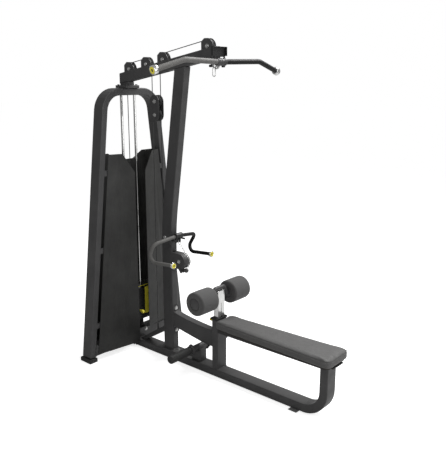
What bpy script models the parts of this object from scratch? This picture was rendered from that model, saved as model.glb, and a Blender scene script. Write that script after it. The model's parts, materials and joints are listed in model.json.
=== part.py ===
"""Lat pulldown and seated row machine with a weight stack.

Metres, +Z up. +X runs from the weight tower to the outer end of the bench, and the
machine is symmetric about the XZ plane. The origin is on the floor, at mid length.
"near" is the -Y side and "far" is the +Y side.
"""

import math

import bmesh
import bpy
from mathutils import Matrix, Vector

GAP = 0.0003  # clearance between pieces that touch

# Weight tower: an inverted U of 100 x 52 tube whose legs lean in toward the top.
TOWER_X = -0.922
TOWER_DEPTH = 0.100
TUBE = 0.052
LEG_FOOT_HALF = 0.508
LEG_LEAN = 0.1165
ARCH_TOP = 2.053
ARCH_RADIUS = 0.145
LEG_BOTTOM = 0.034
CROSS_Z = (0.0400, 0.1225)

# Weight stack and its guides.
STACK_X = -0.9214
ROD_Y = 0.0646
ROD_RADIUS = 0.010
STACK_HALF = (0.0470, 0.190)
STACK_BOTTOM = 0.2034
PLATE_PITCH = 0.0190
PLATE_THICK = 0.0180
PLATES = 14
PLATES_BELOW_PIN = 4
TOP_PLATE = 0.0255
GROOVE_DEPTH = 0.002
SOCKET_HEIGHT = 0.075

# Cable and pulleys. Centres are (x, z) on the mid plane.
CABLE_RADIUS = 0.003
PITCH = 0.0430
RIM = 0.0465
PULLEY_1 = (STACK_X + PITCH, 2.190)
PULLEY_2 = (-0.6920, 2.222)
PULLEY_3 = (-0.5200, 2.253)
PULLEY_4 = (-0.0970, 2.331)
BOOM_PULLEYS = (PULLEY_1, PULLEY_2, PULLEY_3, PULLEY_4)
BLOCK_UPPER = (-0.6060, 1.961)
BLOCK_LOWER = (-0.6060, 1.866)
TRANSFER = (-0.5200, 0.966)
COVER_RADIUS = 0.0515
COVER_WALL = 0.0040
CHEEK_INNER = 0.0142
CHEEK_OUTER = 0.0174
ROW_PULLEY = (-0.377, 0.802)
ROW_PITCH = 0.0500
ROW_RIM = 0.0530
AXLE_RADIUS = 0.0060

# Boom: a 76 x 60 tube that rises toward the front.
BOOM_X = (-0.976, -0.017)
BOOM_LOW_AT_REAR = 2.083
BOOM_SLOPE = 0.1775
BOOM_HEIGHT = 0.0775
HALF_60 = 0.030
FLANGE = 0.008

# Upright: 100 x 60 tube, plumb at the bottom and leaning forward above the bend.
UPRIGHT_X = -0.504
UPRIGHT_BEND_Z = 1.057
UPRIGHT_LEAN = 0.143
UPRIGHT_HALF = 0.050

# Base rail: 100 x 60 tube that turns up at its outer end to carry the bench.
RAIL_Z = (0.006, 0.066)
RAIL_HALF = 0.050
RAIL_REAR = -0.8660
END_POST_X = 0.902
END_POST_TOP = 0.3832

# Bench and thigh hold-down.
SEAT_TOP = 0.4576
SEAT_X = (0.0220, 0.9817)
SEAT_HALF = 0.1306
PAD_BOTTOM = 0.4023
POST_X = (-0.0350, 0.0190)
POST_TOP = 0.445
THIGH_X = -0.008
THIGH_AXIS_Z = 0.620
ROLLER_RADIUS = 0.084
ROLLER_Y = (0.088, 0.259)
YOKE_TOP_Z = 0.676

# Footrest.
FOOTREST = (-0.210, 0.165)
FOOTREST_RADIUS = 0.025

# Lat bar and row handle.
BAR_X = 0.008
BAR_Z = 2.229
BAR_BEND = (0.042, 0.370, 2.237)
BAR_END = (0.019, 0.583, 2.1795)
BAR_RADIUS = 0.0175
LAT_DROP_X = PULLEY_4[0] + PITCH
HANDLE_HUB = (-0.406, 0.992)
HANDLE_RADIUS = 0.0135
ROW_BALL = (-0.331, 0.737)
BALL_RADIUS = 0.018
ANCHOR_TOP = 0.236
CLIP_STEM = 0.0185
CHAIN_BEND = (-0.283, 0, 0.822)

FRAME_GREY = ("frame grey", (0.055, 0.054, 0.055), 0.45, 0.2)
BLACK_STEEL = ("black steel", (0.012, 0.012, 0.013), 0.5, 0.2)
SHROUD_GREY = ("shroud grey", (0.042, 0.042, 0.039), 0.55, 0.1)
CHROME = ("chrome", (0.80, 0.80, 0.78), 0.12, 1.0)
STEEL = ("bright steel", (0.60, 0.60, 0.58), 0.3, 1.0)
PLATE_BLACK = ("stack black", (0.02, 0.02, 0.02), 0.6, 0.1)
RUBBER = ("rubber", (0.02, 0.02, 0.02), 0.85, 0.0)
PULLEY_BLACK = ("pulley nylon", (0.015, 0.015, 0.015), 0.4, 0.0)
CABLE_GREY = ("cable sheath", (0.08, 0.08, 0.08), 0.5, 0.0)
PAD_GREY = ("pad cover", (0.14, 0.135, 0.13), 0.6, 0.0)
FOAM = ("roller foam", (0.09, 0.088, 0.088), 0.8, 0.0)
PLYWOOD = ("plywood", (0.30, 0.20, 0.11), 0.7, 0.0)
GRIP = ("grip sleeve", (0.13, 0.128, 0.125), 0.55, 0.0)
YELLOW = ("yellow plastic", (0.62, 0.55, 0.06), 0.4, 0.0)

AXIS_TURN = {
    "x": Matrix.Rotation(math.pi / 2, 4, "Y"),
    "y": Matrix.Rotation(-math.pi / 2, 4, "X"),
    "z": Matrix.Identity(4),
}
# Curve axes to world axes for a flat outline drawn as (a, b).
PLANE_TURN = {
    "xz": Matrix(((1, 0, 0, 0), (0, 0, -1, 0), (0, 1, 0, 0), (0, 0, 0, 1))),
    "yz": Matrix(((0, 0, 1, 0), (1, 0, 0, 0), (0, 1, 0, 0), (0, 0, 0, 1))),
    "xy": Matrix.Identity(4),
}


# ---------------------------------------------------------------- scene helpers


def clear_scene():
    for obj in list(bpy.data.objects):
        bpy.data.objects.remove(obj, do_unlink=True)


def new_collection(name):
    collection = bpy.data.collections.new(name)
    bpy.context.scene.collection.children.link(collection)
    return collection


def material_for(finish):
    name, colour, roughness, metallic = finish
    material = bpy.data.materials.get(name)
    if material:
        return material
    material = bpy.data.materials.new(name)
    material.use_nodes = True
    shader = material.node_tree.nodes["Principled BSDF"]
    shader.inputs["Base Color"].default_value = (*colour, 1.0)
    shader.inputs["Roughness"].default_value = roughness
    shader.inputs["Metallic"].default_value = metallic
    return material


def add_object(name, data, finish=None):
    obj = bpy.data.objects.new(name, data)
    if finish is None:
        CUTTERS.objects.link(obj)
        obj.hide_render = True
        obj.display_type = "WIRE"
    else:
        PARTS.objects.link(obj)
        data.materials.append(material_for(finish))
    return obj


def mesh_object(name, bm, finish=None, smooth=True):
    bmesh.ops.remove_doubles(bm, verts=bm.verts, dist=0.00001)
    bmesh.ops.recalc_face_normals(bm, faces=bm.faces)
    mesh = bpy.data.meshes.new(name)
    bm.to_mesh(mesh)
    bm.free()
    if smooth:
        mesh.shade_smooth()
        mesh.set_sharp_from_angle(angle=math.radians(35))
    return add_object(name, mesh, finish)


def round_edges(obj, width, segments=2):
    bevel = obj.modifiers.new("rounded edges", "BEVEL")
    bevel.width = width
    bevel.segments = segments
    bevel.limit_method = "ANGLE"
    bevel.angle_limit = math.radians(40)
    return obj


def boolean(obj, other, operation):
    modifier = obj.modifiers.new(operation.lower(), "BOOLEAN")
    modifier.operation = operation
    modifier.object = other
    return obj


def cut(obj, *cutters):
    for cutter in cutters:
        boolean(obj, cutter, "DIFFERENCE")
    return obj


def unite(obj, *others):
    for other in others:
        boolean(obj, other, "UNION")
    return obj


def hold_on(pivot_name, location, *objects):
    """Parents moving pieces to an empty that stands on their joint's axis."""
    pivot = bpy.data.objects.new(pivot_name, None)
    pivot.location = location
    pivot.empty_display_size = 0.05
    PARTS.objects.link(pivot)
    back = Matrix.Translation(location).inverted()
    for obj in objects:
        obj.parent = pivot
        obj.matrix_parent_inverse = back
    return pivot


# ---------------------------------------------------------------- shape helpers


def add_block(bm, low, high):
    size = [h - l for l, h in zip(low, high)]
    middle = [(h + l) / 2 for l, h in zip(low, high)]
    place = Matrix.Translation(middle) @ Matrix.Diagonal((*size, 1))
    bmesh.ops.create_cube(bm, size=1, matrix=place)


def block(name, low, high, finish=None, edge=0.0):
    bm = bmesh.new()
    add_block(bm, low, high)
    obj = mesh_object(name, bm, finish, smooth=False)
    return round_edges(obj, edge) if edge else obj


def add_rod(bm, start, end, radius, sides=16):
    start, end = Vector(start), Vector(end)
    turn = (end - start).to_track_quat("Z", "Y").to_matrix().to_4x4()
    place = Matrix.Translation((start + end) / 2) @ turn
    bmesh.ops.create_cone(
        bm,
        cap_ends=True,
        segments=sides,
        radius1=radius,
        radius2=radius,
        depth=(end - start).length,
        matrix=place,
    )


def rod(name, start, end, radius, finish=None, sides=16):
    bm = bmesh.new()
    add_rod(bm, start, end, radius, sides)
    return mesh_object(name, bm, finish)


def add_turned(bm, profile, centre, axis, steps=24, closed=False):
    """Spins (radius, height) points about the axis; a closed profile makes a ring."""
    part = bmesh.new()
    verts = [part.verts.new((radius, 0, height)) for radius, height in profile]
    pairs = list(zip(verts, verts[1:]))
    if closed:
        pairs.append((verts[-1], verts[0]))
    edges = [part.edges.new(pair) for pair in pairs]
    bmesh.ops.spin(
        part,
        geom=verts + edges,
        cent=(0, 0, 0),
        axis=(0, 0, 1),
        angle=2 * math.pi,
        steps=steps,
        use_merge=True,
    )
    bmesh.ops.remove_doubles(part, verts=part.verts, dist=0.00001)
    bmesh.ops.recalc_face_normals(part, faces=part.faces)
    part.transform(Matrix.Translation(centre) @ AXIS_TURN[axis])
    mesh = bpy.data.meshes.new("turned")
    part.to_mesh(mesh)
    part.free()
    bm.from_mesh(mesh)
    bpy.data.meshes.remove(mesh)


def turned(name, profile, centre, axis, finish=None, steps=24, closed=False):
    bm = bmesh.new()
    add_turned(bm, profile, (0, 0, 0), axis, steps, closed)
    obj = mesh_object(name, bm, finish)
    obj.location = centre
    return obj


def outline_spline(curve, points):
    spline = curve.splines.new("POLY")
    spline.points.add(len(points) - 1)
    for point, (a, b) in zip(spline.points, points):
        point.co = (a, b, 0, 1)
    spline.use_cyclic_u = True


def flat(name, plane, outline, low, high, finish=None, edge=0.0, holes=()):
    """A plate with the given outline, from low to high along the plane's normal."""
    curve = bpy.data.curves.new(name, "CURVE")
    curve.dimensions = "2D"
    curve.fill_mode = "BOTH"
    curve.extrude = (high - low) / 2
    for points in (outline, *holes):
        outline_spline(curve, points)
    drawn = bpy.data.objects.new(name + " outline", curve)
    CUTTERS.objects.link(drawn)
    bpy.context.view_layer.update()
    graph = bpy.context.evaluated_depsgraph_get()
    mesh = bpy.data.meshes.new_from_object(drawn.evaluated_get(graph))
    bpy.data.objects.remove(drawn, do_unlink=True)
    bpy.data.curves.remove(curve)
    turn = PLANE_TURN[plane]
    middle = turn.to_3x3() @ Vector((0, 0, 1)) * (low + high) / 2
    if plane == "xz":
        middle = -middle
    bm = bmesh.new()
    bm.from_mesh(mesh)
    bpy.data.meshes.remove(mesh)
    bm.transform(Matrix.Translation(middle) @ turn)
    bmesh.ops.remove_doubles(bm, verts=bm.verts, dist=0.00001)
    bmesh.ops.dissolve_limit(
        bm, angle_limit=math.radians(0.5), verts=bm.verts, edges=bm.edges
    )
    obj = mesh_object(name, bm, finish)
    return round_edges(obj, edge) if edge else obj


def tube(name, points, radius, finish, resolution=2):
    curve = bpy.data.curves.new(name, "CURVE")
    curve.dimensions = "3D"
    curve.bevel_depth = radius
    curve.bevel_resolution = resolution
    curve.use_fill_caps = True
    add_path(curve, points)
    return add_object(name, curve, finish)


def add_path(curve, points):
    spline = curve.splines.new("POLY")
    spline.points.add(len(points) - 1)
    for point, place in zip(spline.points, points):
        point.co = (*place, 1)


def tube_mesh(name, points, radius, finish=None, resolution=2):
    """The same tube as a closed mesh, for pieces that are cut or joined."""
    drawn = tube(name + " path", points, radius, RUBBER, resolution)
    bpy.context.view_layer.update()
    graph = bpy.context.evaluated_depsgraph_get()
    mesh = bpy.data.meshes.new_from_object(drawn.evaluated_get(graph))
    curve = drawn.data
    bpy.data.objects.remove(drawn, do_unlink=True)
    bpy.data.curves.remove(curve)
    mesh.materials.clear()
    bm = bmesh.new()
    bm.from_mesh(mesh)
    bpy.data.meshes.remove(mesh)
    return mesh_object(name, bm, finish)


def rounded_path(corners, radii, step_degrees=10):
    """Runs through the corners, with each inner one replaced by an arc."""
    corners = [Vector(corner) for corner in corners]
    path = [corners[0]]
    for before, corner, after, radius in zip(corners, corners[1:], corners[2:], radii):
        back = (before - corner).normalized()
        ahead = (after - corner).normalized()
        turn = math.pi - back.angle(ahead)
        reach = radius * math.tan(turn / 2)
        start = corner + back * reach
        bisector = (back + ahead).normalized()
        centre = corner + bisector * radius / math.cos(turn / 2)
        arm = start - centre
        axis = arm.cross(-back).normalized()
        count = max(2, round(math.degrees(turn) / step_degrees))
        for step in range(count + 1):
            spin = Matrix.Rotation(turn * step / count, 3, axis)
            path.append(centre + spin @ arm)
    path.append(corners[-1])
    return path


def ribbon(path, half_width):
    """The outline of a strip of constant width along a flat (a, b) path."""
    left, right = [], []
    for index, point in enumerate(path):
        before = path[max(index - 1, 0)]
        after = path[min(index + 1, len(path) - 1)]
        into = (point - before).normalized() if index else (after - point).normalized()
        out = (after - point).normalized() if after != point else into
        along = (into + out).normalized()
        reach = half_width / max(along.dot(into), 0.5)
        side = Vector((-along.y, along.x)) * reach
        left.append(point + side)
        right.append(point - side)
    return [tuple(point) for point in left + right[::-1]]


def arc(centre, radius, start, end, steps):
    """Points (a, b) on a circle from one angle to another, in degrees."""
    points = []
    for step in range(steps + 1):
        angle = math.radians(start + (end - start) * step / steps)
        points.append((centre[0] + radius * math.cos(angle), centre[1] + radius * math.sin(angle)))
    return points


def mid_plane(points):
    return [(x, 0, z) for x, z in points]


def leg_outer(z):
    return LEG_FOOT_HALF - LEG_LEAN * z


def leg_inner(z):
    return leg_outer(z) - TUBE * math.hypot(1, LEG_LEAN)


def boom_low(x):
    return BOOM_LOW_AT_REAR + BOOM_SLOPE * (x - BOOM_X[0])


# ---------------------------------------------------------------- weight tower


def build_tower():
    top = ARCH_TOP - TUBE / 2
    half = TUBE / 2 * math.hypot(1, LEG_LEAN)
    corners = []
    for side, z in ((-1, LEG_BOTTOM), (-1, top), (1, top), (1, LEG_BOTTOM)):
        corners.append((side * (leg_outer(z) - half), z))
    radii = (ARCH_RADIUS, ARCH_RADIUS)
    path = [Vector(p[:2]) for p in rounded_path([(y, z, 0) for y, z in corners], radii)]
    front, rear = TOWER_X + TOWER_DEPTH / 2, TOWER_X - TOWER_DEPTH / 2
    frame = flat("tower_frame", "yz", ribbon(path, TUBE / 2), rear, front, FRAME_GREY, 0.007)
    for side in (-1, 1):
        for z in (0.28, 0.86, 1.44):
            inner = side * (leg_inner(z) - 0.034)
            wall = side * (leg_outer(z) - TUBE / 2)
            low, high = sorted((inner, wall))
            tab = block(f"lug {side} {z}", (-0.884, low, z - 0.02), (-0.8725, high, z + 0.02))
            unite(frame, tab)
    cut(frame, cable_bore())
    bottom, upper = CROSS_Z
    outline = [
        (-leg_inner(bottom) + GAP * 2, bottom),
        (leg_inner(bottom) - GAP * 2, bottom),
        (leg_inner(upper) - GAP * 2, upper),
        (-leg_inner(upper) + GAP * 2, upper),
    ]
    flat("base_cross_tube", "yz", outline, rear, front, FRAME_GREY, 0.006)


def build_feet():
    for name, side in (("tower_foot_near", -1), ("tower_foot_far", 1)):
        low, high = sorted((side * 0.445, side * 0.515))
        block(name, (-0.982, low, 0), (-0.862, high, 0.0300), RUBBER, 0.0015)
    top = RAIL_Z[0] - GAP
    block("front_floor_pad", (0.658, -0.075, 0), (0.722, 0.075, top), RUBBER)


def build_guides():
    """Two rods, and the rubber bumpers that stand round them on one strip."""
    top = ARCH_TOP - TUBE - GAP
    low = CROSS_Z[1] + GAP
    strip = (STACK_X - 0.019, -ROD_Y - 0.019, low), (STACK_X + 0.019, ROD_Y + 0.019, low + 0.004)
    bumpers = block("stack_bumpers", *strip, RUBBER)
    for name, y in (("near", -ROD_Y), ("far", ROD_Y)):
        rod(f"guide_rod_{name}", (STACK_X, y, low), (STACK_X, y, top), ROD_RADIUS, CHROME)
        foot, head = (STACK_X, y, low + 0.001), (STACK_X, y, STACK_BOTTOM - GAP)
        unite(bumpers, rod(f"bumper {name}", foot, head, 0.017))
        bore = (STACK_X, y, low - 0.02), (STACK_X, y, STACK_BOTTOM + 0.02)
        cut(bumpers, rod(f"bumper bore {name}", *bore, ROD_RADIUS + 0.0005, sides=12))


def folded_sheet(name, columns, rows, top_corner, finish, thickness=0.003):
    """A sheet folded along upright lines; the top row may skip the last columns."""
    bm = bmesh.new()
    grid = [[bm.verts.new(column(z)) for column in columns] for z in rows]
    for level, (lower, upper) in enumerate(zip(grid, grid[1:])):
        last = top_corner if level == len(rows) - 2 else len(columns) - 1
        for index in range(last):
            bm.faces.new((lower[index], lower[index + 1], upper[index + 1], upper[index]))
        if last < len(columns) - 1:
            bm.faces.new((lower[last], lower[last + 1], upper[last]))
    loose = [vert for vert in bm.verts if not vert.link_faces]
    bmesh.ops.delete(bm, geom=loose, context="VERTS")
    obj = mesh_object(name, bm, finish, smooth=False)
    shell = obj.modifiers.new("sheet", "SOLIDIFY")
    shell.thickness = thickness
    shell.offset = 0
    shell.use_even_offset = True
    return obj


def build_shrouds():
    slot_y, slot_x = 0.052, -0.810
    corner_y, corner_x = 0.148, -0.838
    for name, side, low in (("front_shroud_near", -1, 0.050), ("front_shroud_far", 1, 0.150)):
        rows = (low, 1.432, 1.577)

        def outer(z, side=side):
            return (-0.8695, side * (leg_inner(z) - 0.022), z)

        def fold(z, side=side):
            wide = leg_inner(z) - 0.022
            return (-0.846, side * (wide - 0.36 * (wide - slot_y)), z)

        def corner(z, side=side):
            wide = leg_inner(z) - 0.022
            share = 0.36 + (0.64 * 0.42)
            reach = max(corner_y, wide - share * (wide - slot_y)) if z < 1.5 else corner_y
            return (corner_x + 0.006, side * reach, z)

        def slot(z, side=side):
            return (slot_x, side * slot_y, z)

        folded_sheet(name, (outer, fold, corner, slot), rows, 2, SHROUD_GREY)


def build_rear_shroud():
    x, deep = -0.9743, -0.9790
    low, high, dip = 0.150, 1.570, 1.512
    levels = (low, 0.80, high)
    bm = bmesh.new()
    rows = []
    for z in levels:
        edge = leg_inner(z) + 0.020
        row = [(x, -edge), (x - 0.001, -0.170), (deep, -0.078)]
        row += [(deep, 0.078), (x - 0.001, 0.170), (x, edge)]
        rows.append([])
        for place_x, y in row:
            height = dip if z == high and abs(y) < 0.1 else z
            rows[-1].append(bm.verts.new((place_x, y, height)))
    for lower, upper in zip(rows, rows[1:]):
        for index in range(len(lower) - 1):
            bm.faces.new((lower[index], lower[index + 1], upper[index + 1], upper[index]))
    obj = mesh_object("rear_shroud", bm, SHROUD_GREY, smooth=False)
    shell = obj.modifiers.new("sheet", "SOLIDIFY")
    shell.thickness = 0.003
    shell.offset = 0


# ---------------------------------------------------------------- weight stack


def stack_level(index):
    return STACK_BOTTOM + PLATE_PITCH * index


def plate_group(name, first, last):
    """Some plates as one block, with a groove front and rear at each joint."""
    half_x, half_y = STACK_HALF
    low = (STACK_X - half_x, -half_y, stack_level(first))
    high = (STACK_X + half_x, half_y, stack_level(last - 1) + PLATE_THICK)
    group = block(name, low, high, PLATE_BLACK)
    grooves = bmesh.new()
    for index in range(first, last - 1):
        bottom, top = stack_level(index) + PLATE_THICK, stack_level(index + 1)
        for side in (-1, 1):
            floor = STACK_X + side * (half_x - GROOVE_DEPTH)
            near, far = sorted((floor, floor + side * 0.01))
            add_block(grooves, (near, -half_y - 0.01, bottom), (far, half_y + 0.01, top))
    return cut(group, mesh_object(name + " grooves", grooves, smooth=False))


def build_stack():
    pin_z = stack_level(PLATES_BELOW_PIN) + PLATE_THICK / 2
    bore = rod("pin bore", (STACK_X - 0.022, 0, pin_z), (-0.80, 0, pin_z), 0.0050, sides=10)
    groups = (
        ("weight_plates_resting", 0, PLATES_BELOW_PIN),
        ("weight_plates_lifted", PLATES_BELOW_PIN, PLATES),
    )
    holes = []
    for y, radius in ((-ROD_Y, 0.0115), (0, 0.0130), (ROD_Y, 0.0115)):
        holes.append(rod(f"stack bore {y}", (STACK_X, y, 0.1), (STACK_X, y, 0.6), radius, sides=12))
    for name, first, last in groups:
        stack = cut(plate_group(name, first, last), *holes)
        if first == PLATES_BELOW_PIN:
            cut(stack, bore)
    build_top_plate(holes, bore)
    pin = [
        (0, 0.062), (0.010, 0.062), (0.0135, 0.058), (0.0135, 0.012), (0.010, 0.008),
        (0.0040, 0.008), (0.0040, -0.058), (0, -0.058),
    ]
    pin_x = STACK_X + STACK_HALF[0] - 0.004
    turned("selector_pin", pin, (pin_x, 0, pin_z), "x", YELLOW, 16)


def build_top_plate(holes, bore):
    """The top plate carries the selector shaft, which hangs down through the stack."""
    low = stack_level(PLATES)
    half_x, half_y = STACK_HALF
    corners = (STACK_X - half_x, -half_y, low), (STACK_X + half_x, half_y, low + TOP_PLATE)
    plate = block("top_plate", *corners, STEEL)
    cut(plate, holes[0], holes[2])
    bottom = STACK_BOTTOM + 0.004
    shaft = rod("selector shaft", (STACK_X, 0, bottom), (STACK_X, 0, low + 0.045), 0.0105)
    socket_top = (STACK_X, 0, low + SOCKET_HEIGHT)
    socket = rod("cable socket", (STACK_X, 0, low + 0.01), socket_top, 0.0085, sides=12)
    unite(plate, shaft, socket)
    cut(plate, bore)


# ---------------------------------------------------------------- pulleys and cable


def pulley_profile(pitch, rim, boss_half):
    root = pitch - CABLE_RADIUS - 0.0006
    bore = AXLE_RADIUS + 0.0004
    upper = [(0.015, boss_half), (0.015, 0.0100), (rim, 0.0100), (rim, 0.0078), (root, 0.0034)]
    lower = [(radius, -height) for radius, height in reversed(upper)]
    return upper + lower + [(bore, -boss_half), (bore, boss_half)]


def pulley(name, centre, pitch, rim, boss_half):
    profile = pulley_profile(pitch, rim, boss_half)
    place = (centre[0], 0, centre[1])
    return turned(name, profile, place, "y", PULLEY_BLACK, 18, True)


def axle_bolt(name, centre, grip, finish=None):
    """A bolt along Y with a head at each end, outside the grip."""
    half = grip / 2
    upper = [(0, half + 0.0060), (0.0080, half + 0.0060), (0.0100, half + 0.0035)]
    upper += [(0.0100, half - 0.0010), (AXLE_RADIUS, half - 0.0010)]
    profile = upper + [(radius, -z) for radius, z in reversed(upper)]
    return turned(name, profile, (centre[0], 0, centre[1]), "y", finish, 12)


def cover_outline(centre):
    x, z = centre
    points = [(x - COVER_RADIUS, z - 0.033), (x + COVER_RADIUS, z - 0.033)]
    points += arc(centre, COVER_RADIUS, 0, 80, 6)
    points += [(x - 0.024, z + COVER_RADIUS), (x - COVER_RADIUS, z + 0.030)]
    return points


def cover_cavity(centre):
    x, z = centre
    radius = COVER_RADIUS - COVER_WALL
    return [(x - radius, z - 0.05), (x + radius, z - 0.05)] + arc(centre, radius, 0, 180, 12)


def boom_outline(grow=0.0):
    rear, front = BOOM_X
    return [
        (rear, boom_low(rear) - grow),
        (front, boom_low(front) - grow),
        (front, boom_low(front) + BOOM_HEIGHT + grow),
        (rear, boom_low(rear) + BOOM_HEIGHT + grow),
    ]


def build_boom():
    boom = flat("boom", "xz", boom_outline(), -HALF_60, HALF_60, FRAME_GREY, 0.006)
    reach = RIM + 0.0025
    for number, (x, z) in enumerate(BOOM_PULLEYS, 1):
        low, high = (x - reach, -0.0150, z - 0.3), (x + reach, 0.0150, z + 0.3)
        cut(boom, block(f"boom slot {number}", low, high))
    low = ARCH_TOP + GAP
    top = low + 0.0200
    mount = block("boom_mount", (-0.9815, -0.065, low), (-0.860, 0.065, top), FRAME_GREY, 0.002)
    stub = [
        (-0.968, low + 0.010),
        (-0.878, low + 0.010),
        (-0.878, boom_low(-0.878) - GAP),
        (-0.968, boom_low(-0.968) - GAP),
    ]
    unite(mount, flat("boom stub", "xz", stub, -0.029, 0.029))
    for x in (-0.9685, -0.8735):
        for y in (-0.046, 0.046):
            unite(mount, bolt_head(f"mount bolt {x} {y}", (x, y, top), "z"))
    cut(mount, cable_bore())


def build_covers():
    """Each cover stands on the boom over its pulley and holds the pulley's axle bolt.

    It is open between its cheeks on the front side.
    """
    clear_boom = flat("boom clearance", "xz", boom_outline(GAP), -HALF_60, HALF_60)
    for number, centre in enumerate(BOOM_PULLEYS, 1):
        x, z = centre
        outline = cover_outline(centre)
        cover = flat(f"pulley_cover_{number}", "xz", outline, -CHEEK_OUTER, CHEEK_OUTER, FRAME_GREY)
        hollow = cover_cavity(centre)
        cavity = flat(f"cover cavity {number}", "xz", hollow, -CHEEK_INNER, CHEEK_INNER)
        low, high = (x, -CHEEK_INNER, z - 0.05), (x + 0.07, CHEEK_INNER, z + 0.064)
        cut(cover, cavity, block(f"cover front {number}", low, high))
        if number in (2, 4):
            low, high = (x - 0.07, -0.006, z + 0.018), (x, 0.006, z + 0.0475)
            cut(cover, block(f"cover slot {number}", low, high))
        cut(cover, clear_boom)
        unite(cover, axle_bolt(f"axle {number}", centre, 2 * CHEEK_OUTER))


def bolt_head(name, place, axis):
    """A cap head that stands on a face, sunk a little so that it joins it."""
    head = [(0, 0.0070), (0.0060, 0.0070), (0.0090, 0.0045), (0.0090, -0.0010), (0, -0.0010)]
    return turned(name, head, place, axis, None, 10)


def cable_bore():
    """The way for the stack's cable down through the top of the tower."""
    return rod("stack cable bore", (STACK_X, 0, 1.98), (STACK_X, 0, 2.16), 0.008, sides=12)


def build_pulleys():
    for number, centre in enumerate(BOOM_PULLEYS, 1):
        pulley(f"boom_pulley_{number}", centre, PITCH, RIM, 0.0136)
    pulley("transfer_pulley", TRANSFER, PITCH, RIM, 0.0145)
    pulley("row_pulley", ROW_PULLEY, ROW_PITCH, ROW_RIM, 0.0240)
    upper = pulley("block_pulley_upper", BLOCK_UPPER, PITCH, RIM, 0.0195)
    lower = pulley("block_pulley_lower", BLOCK_LOWER, PITCH, RIM, 0.0195)
    outline = arc(BLOCK_UPPER, 0.047, 0, 180, 10) + arc(BLOCK_LOWER, 0.047, 180, 360, 10)
    frame = flat("block_frame", "xz", outline, -0.0240, 0.0240, FRAME_GREY)
    cut(frame, block("block gap", (-0.70, -0.0200, 1.7), (-0.50, 0.0200, 2.1)))
    for centre in (BLOCK_UPPER, BLOCK_LOWER):
        unite(frame, axle_bolt(f"block axle {centre[1]}", centre, 0.0480))
    hold_on("block slide", (BLOCK_UPPER[0], 0, BLOCK_UPPER[1]), upper, lower, frame)


def cable(name, points):
    return tube(name, mid_plane(points), CABLE_RADIUS, CABLE_GREY)


def top_angle(front_pulley, rear_pulley):
    run = math.atan2(front_pulley[1] - rear_pulley[1], front_pulley[0] - rear_pulley[0])
    return 90 + math.degrees(run)


def build_lat_cable():
    """From the lat clip over the boom, round the floating block, and down to the stack."""
    front_top = top_angle(PULLEY_4, PULLEY_3)
    rear_top = top_angle(PULLEY_2, PULLEY_1)
    path = [(LAT_DROP_X, BAR_Z + CLIP_STEM)]
    path += arc(PULLEY_4, PITCH, 0, front_top, 6)
    path += arc(PULLEY_3, PITCH, front_top, 180, 5)
    path += arc(BLOCK_UPPER, PITCH, 0, -180, 10)
    path += arc(PULLEY_2, PITCH, 0, rear_top, 6)
    path += arc(PULLEY_1, PITCH, rear_top, 180, 5)
    path.append((STACK_X, stack_level(PLATES) + SOCKET_HEIGHT + GAP))
    cable("lat_cable", path)


def build_row_cable():
    """From its anchor over the floating block, through the upright and out to the ball."""
    dx, dz = ROW_PULLEY[0] - TRANSFER[0], ROW_PULLEY[1] - TRANSFER[1]
    lean = math.asin((ROW_PITCH - PITCH) / math.hypot(dx, dz))
    leave = math.degrees(math.atan2(dz, dx) - lean) - 90
    arm = Vector(ROW_BALL) - Vector(ROW_PULLEY)
    leave_row = math.degrees(math.atan2(arm.y, arm.x) - math.acos(ROW_PITCH / arm.length))
    path = [(BLOCK_LOWER[0] - PITCH, ANCHOR_TOP + GAP)]
    path += arc(BLOCK_LOWER, PITCH, 180, 0, 10)
    path += arc(TRANSFER, PITCH, -180, leave, 5)
    path += arc(ROW_PULLEY, ROW_PITCH, leave, leave_row, 5)
    ahead = (Vector(ROW_BALL) - Vector(path[-1])).normalized()
    path.append(tuple(Vector(ROW_BALL) - ahead * (BALL_RADIUS + GAP)))
    cable("row_cable", path)


# ---------------------------------------------------------------- upright, beam, rail


def upright_top(x_side):
    """Where the upright's side at x_side, measured across it, meets the boom."""
    lean = Vector((UPRIGHT_LEAN, 1)).normalized()
    across = Vector((lean.y, -lean.x)) * x_side
    start = Vector((UPRIGHT_X, UPRIGHT_BEND_Z)) + across
    travel = (boom_low(start.x) - GAP - start.y) / (lean.y - BOOM_SLOPE * lean.x)
    return start + lean * travel


def build_upright():
    low = RAIL_Z[1] + GAP + 0.004
    lean = Vector((UPRIGHT_LEAN, 1)).normalized()
    far_end = Vector((UPRIGHT_X, UPRIGHT_BEND_Z)) + lean * 1.0
    corners = [(UPRIGHT_X, low, 0), (UPRIGHT_X, UPRIGHT_BEND_Z, 0), (*far_end, 0)]
    path = [Vector(point[:2]) for point in rounded_path(corners, (2.0,), 1.5)]
    sides = ribbon(path, UPRIGHT_HALF)
    count = len(path)
    left, right = sides[:count], sides[count:]
    left[-1] = tuple(upright_top(-UPRIGHT_HALF))
    right[0] = tuple(upright_top(UPRIGHT_HALF))
    upright = flat("upright", "xz", left + right, -HALF_60, HALF_60, FRAME_GREY, 0.006)
    plate_low = RAIL_Z[1] + GAP
    corners = (-0.602, -0.049, plate_low), (-0.406, 0.049, plate_low + FLANGE)
    plate = block("upright foot", *corners)
    unite(upright, plate)
    z = TRANSFER[1]
    rear_window = block("pulley window", (-0.60, -0.0155, z - 0.181), (-0.470, 0.0155, z + 0.056))
    front_window = block("cable window", (-0.48, -0.0155, z - 0.181), (-0.40, 0.0155, z - 0.101))
    cut(upright, rear_window, front_window)
    unite(upright, axle_bolt("transfer axle", TRANSFER, 2 * HALF_60))
    for bolt_x in (-0.578, -0.430):
        place = (bolt_x, 0, plate_low + FLANGE)
        unite(upright, bolt_head(f"foot bolt {bolt_x}", place, "z"))


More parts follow.
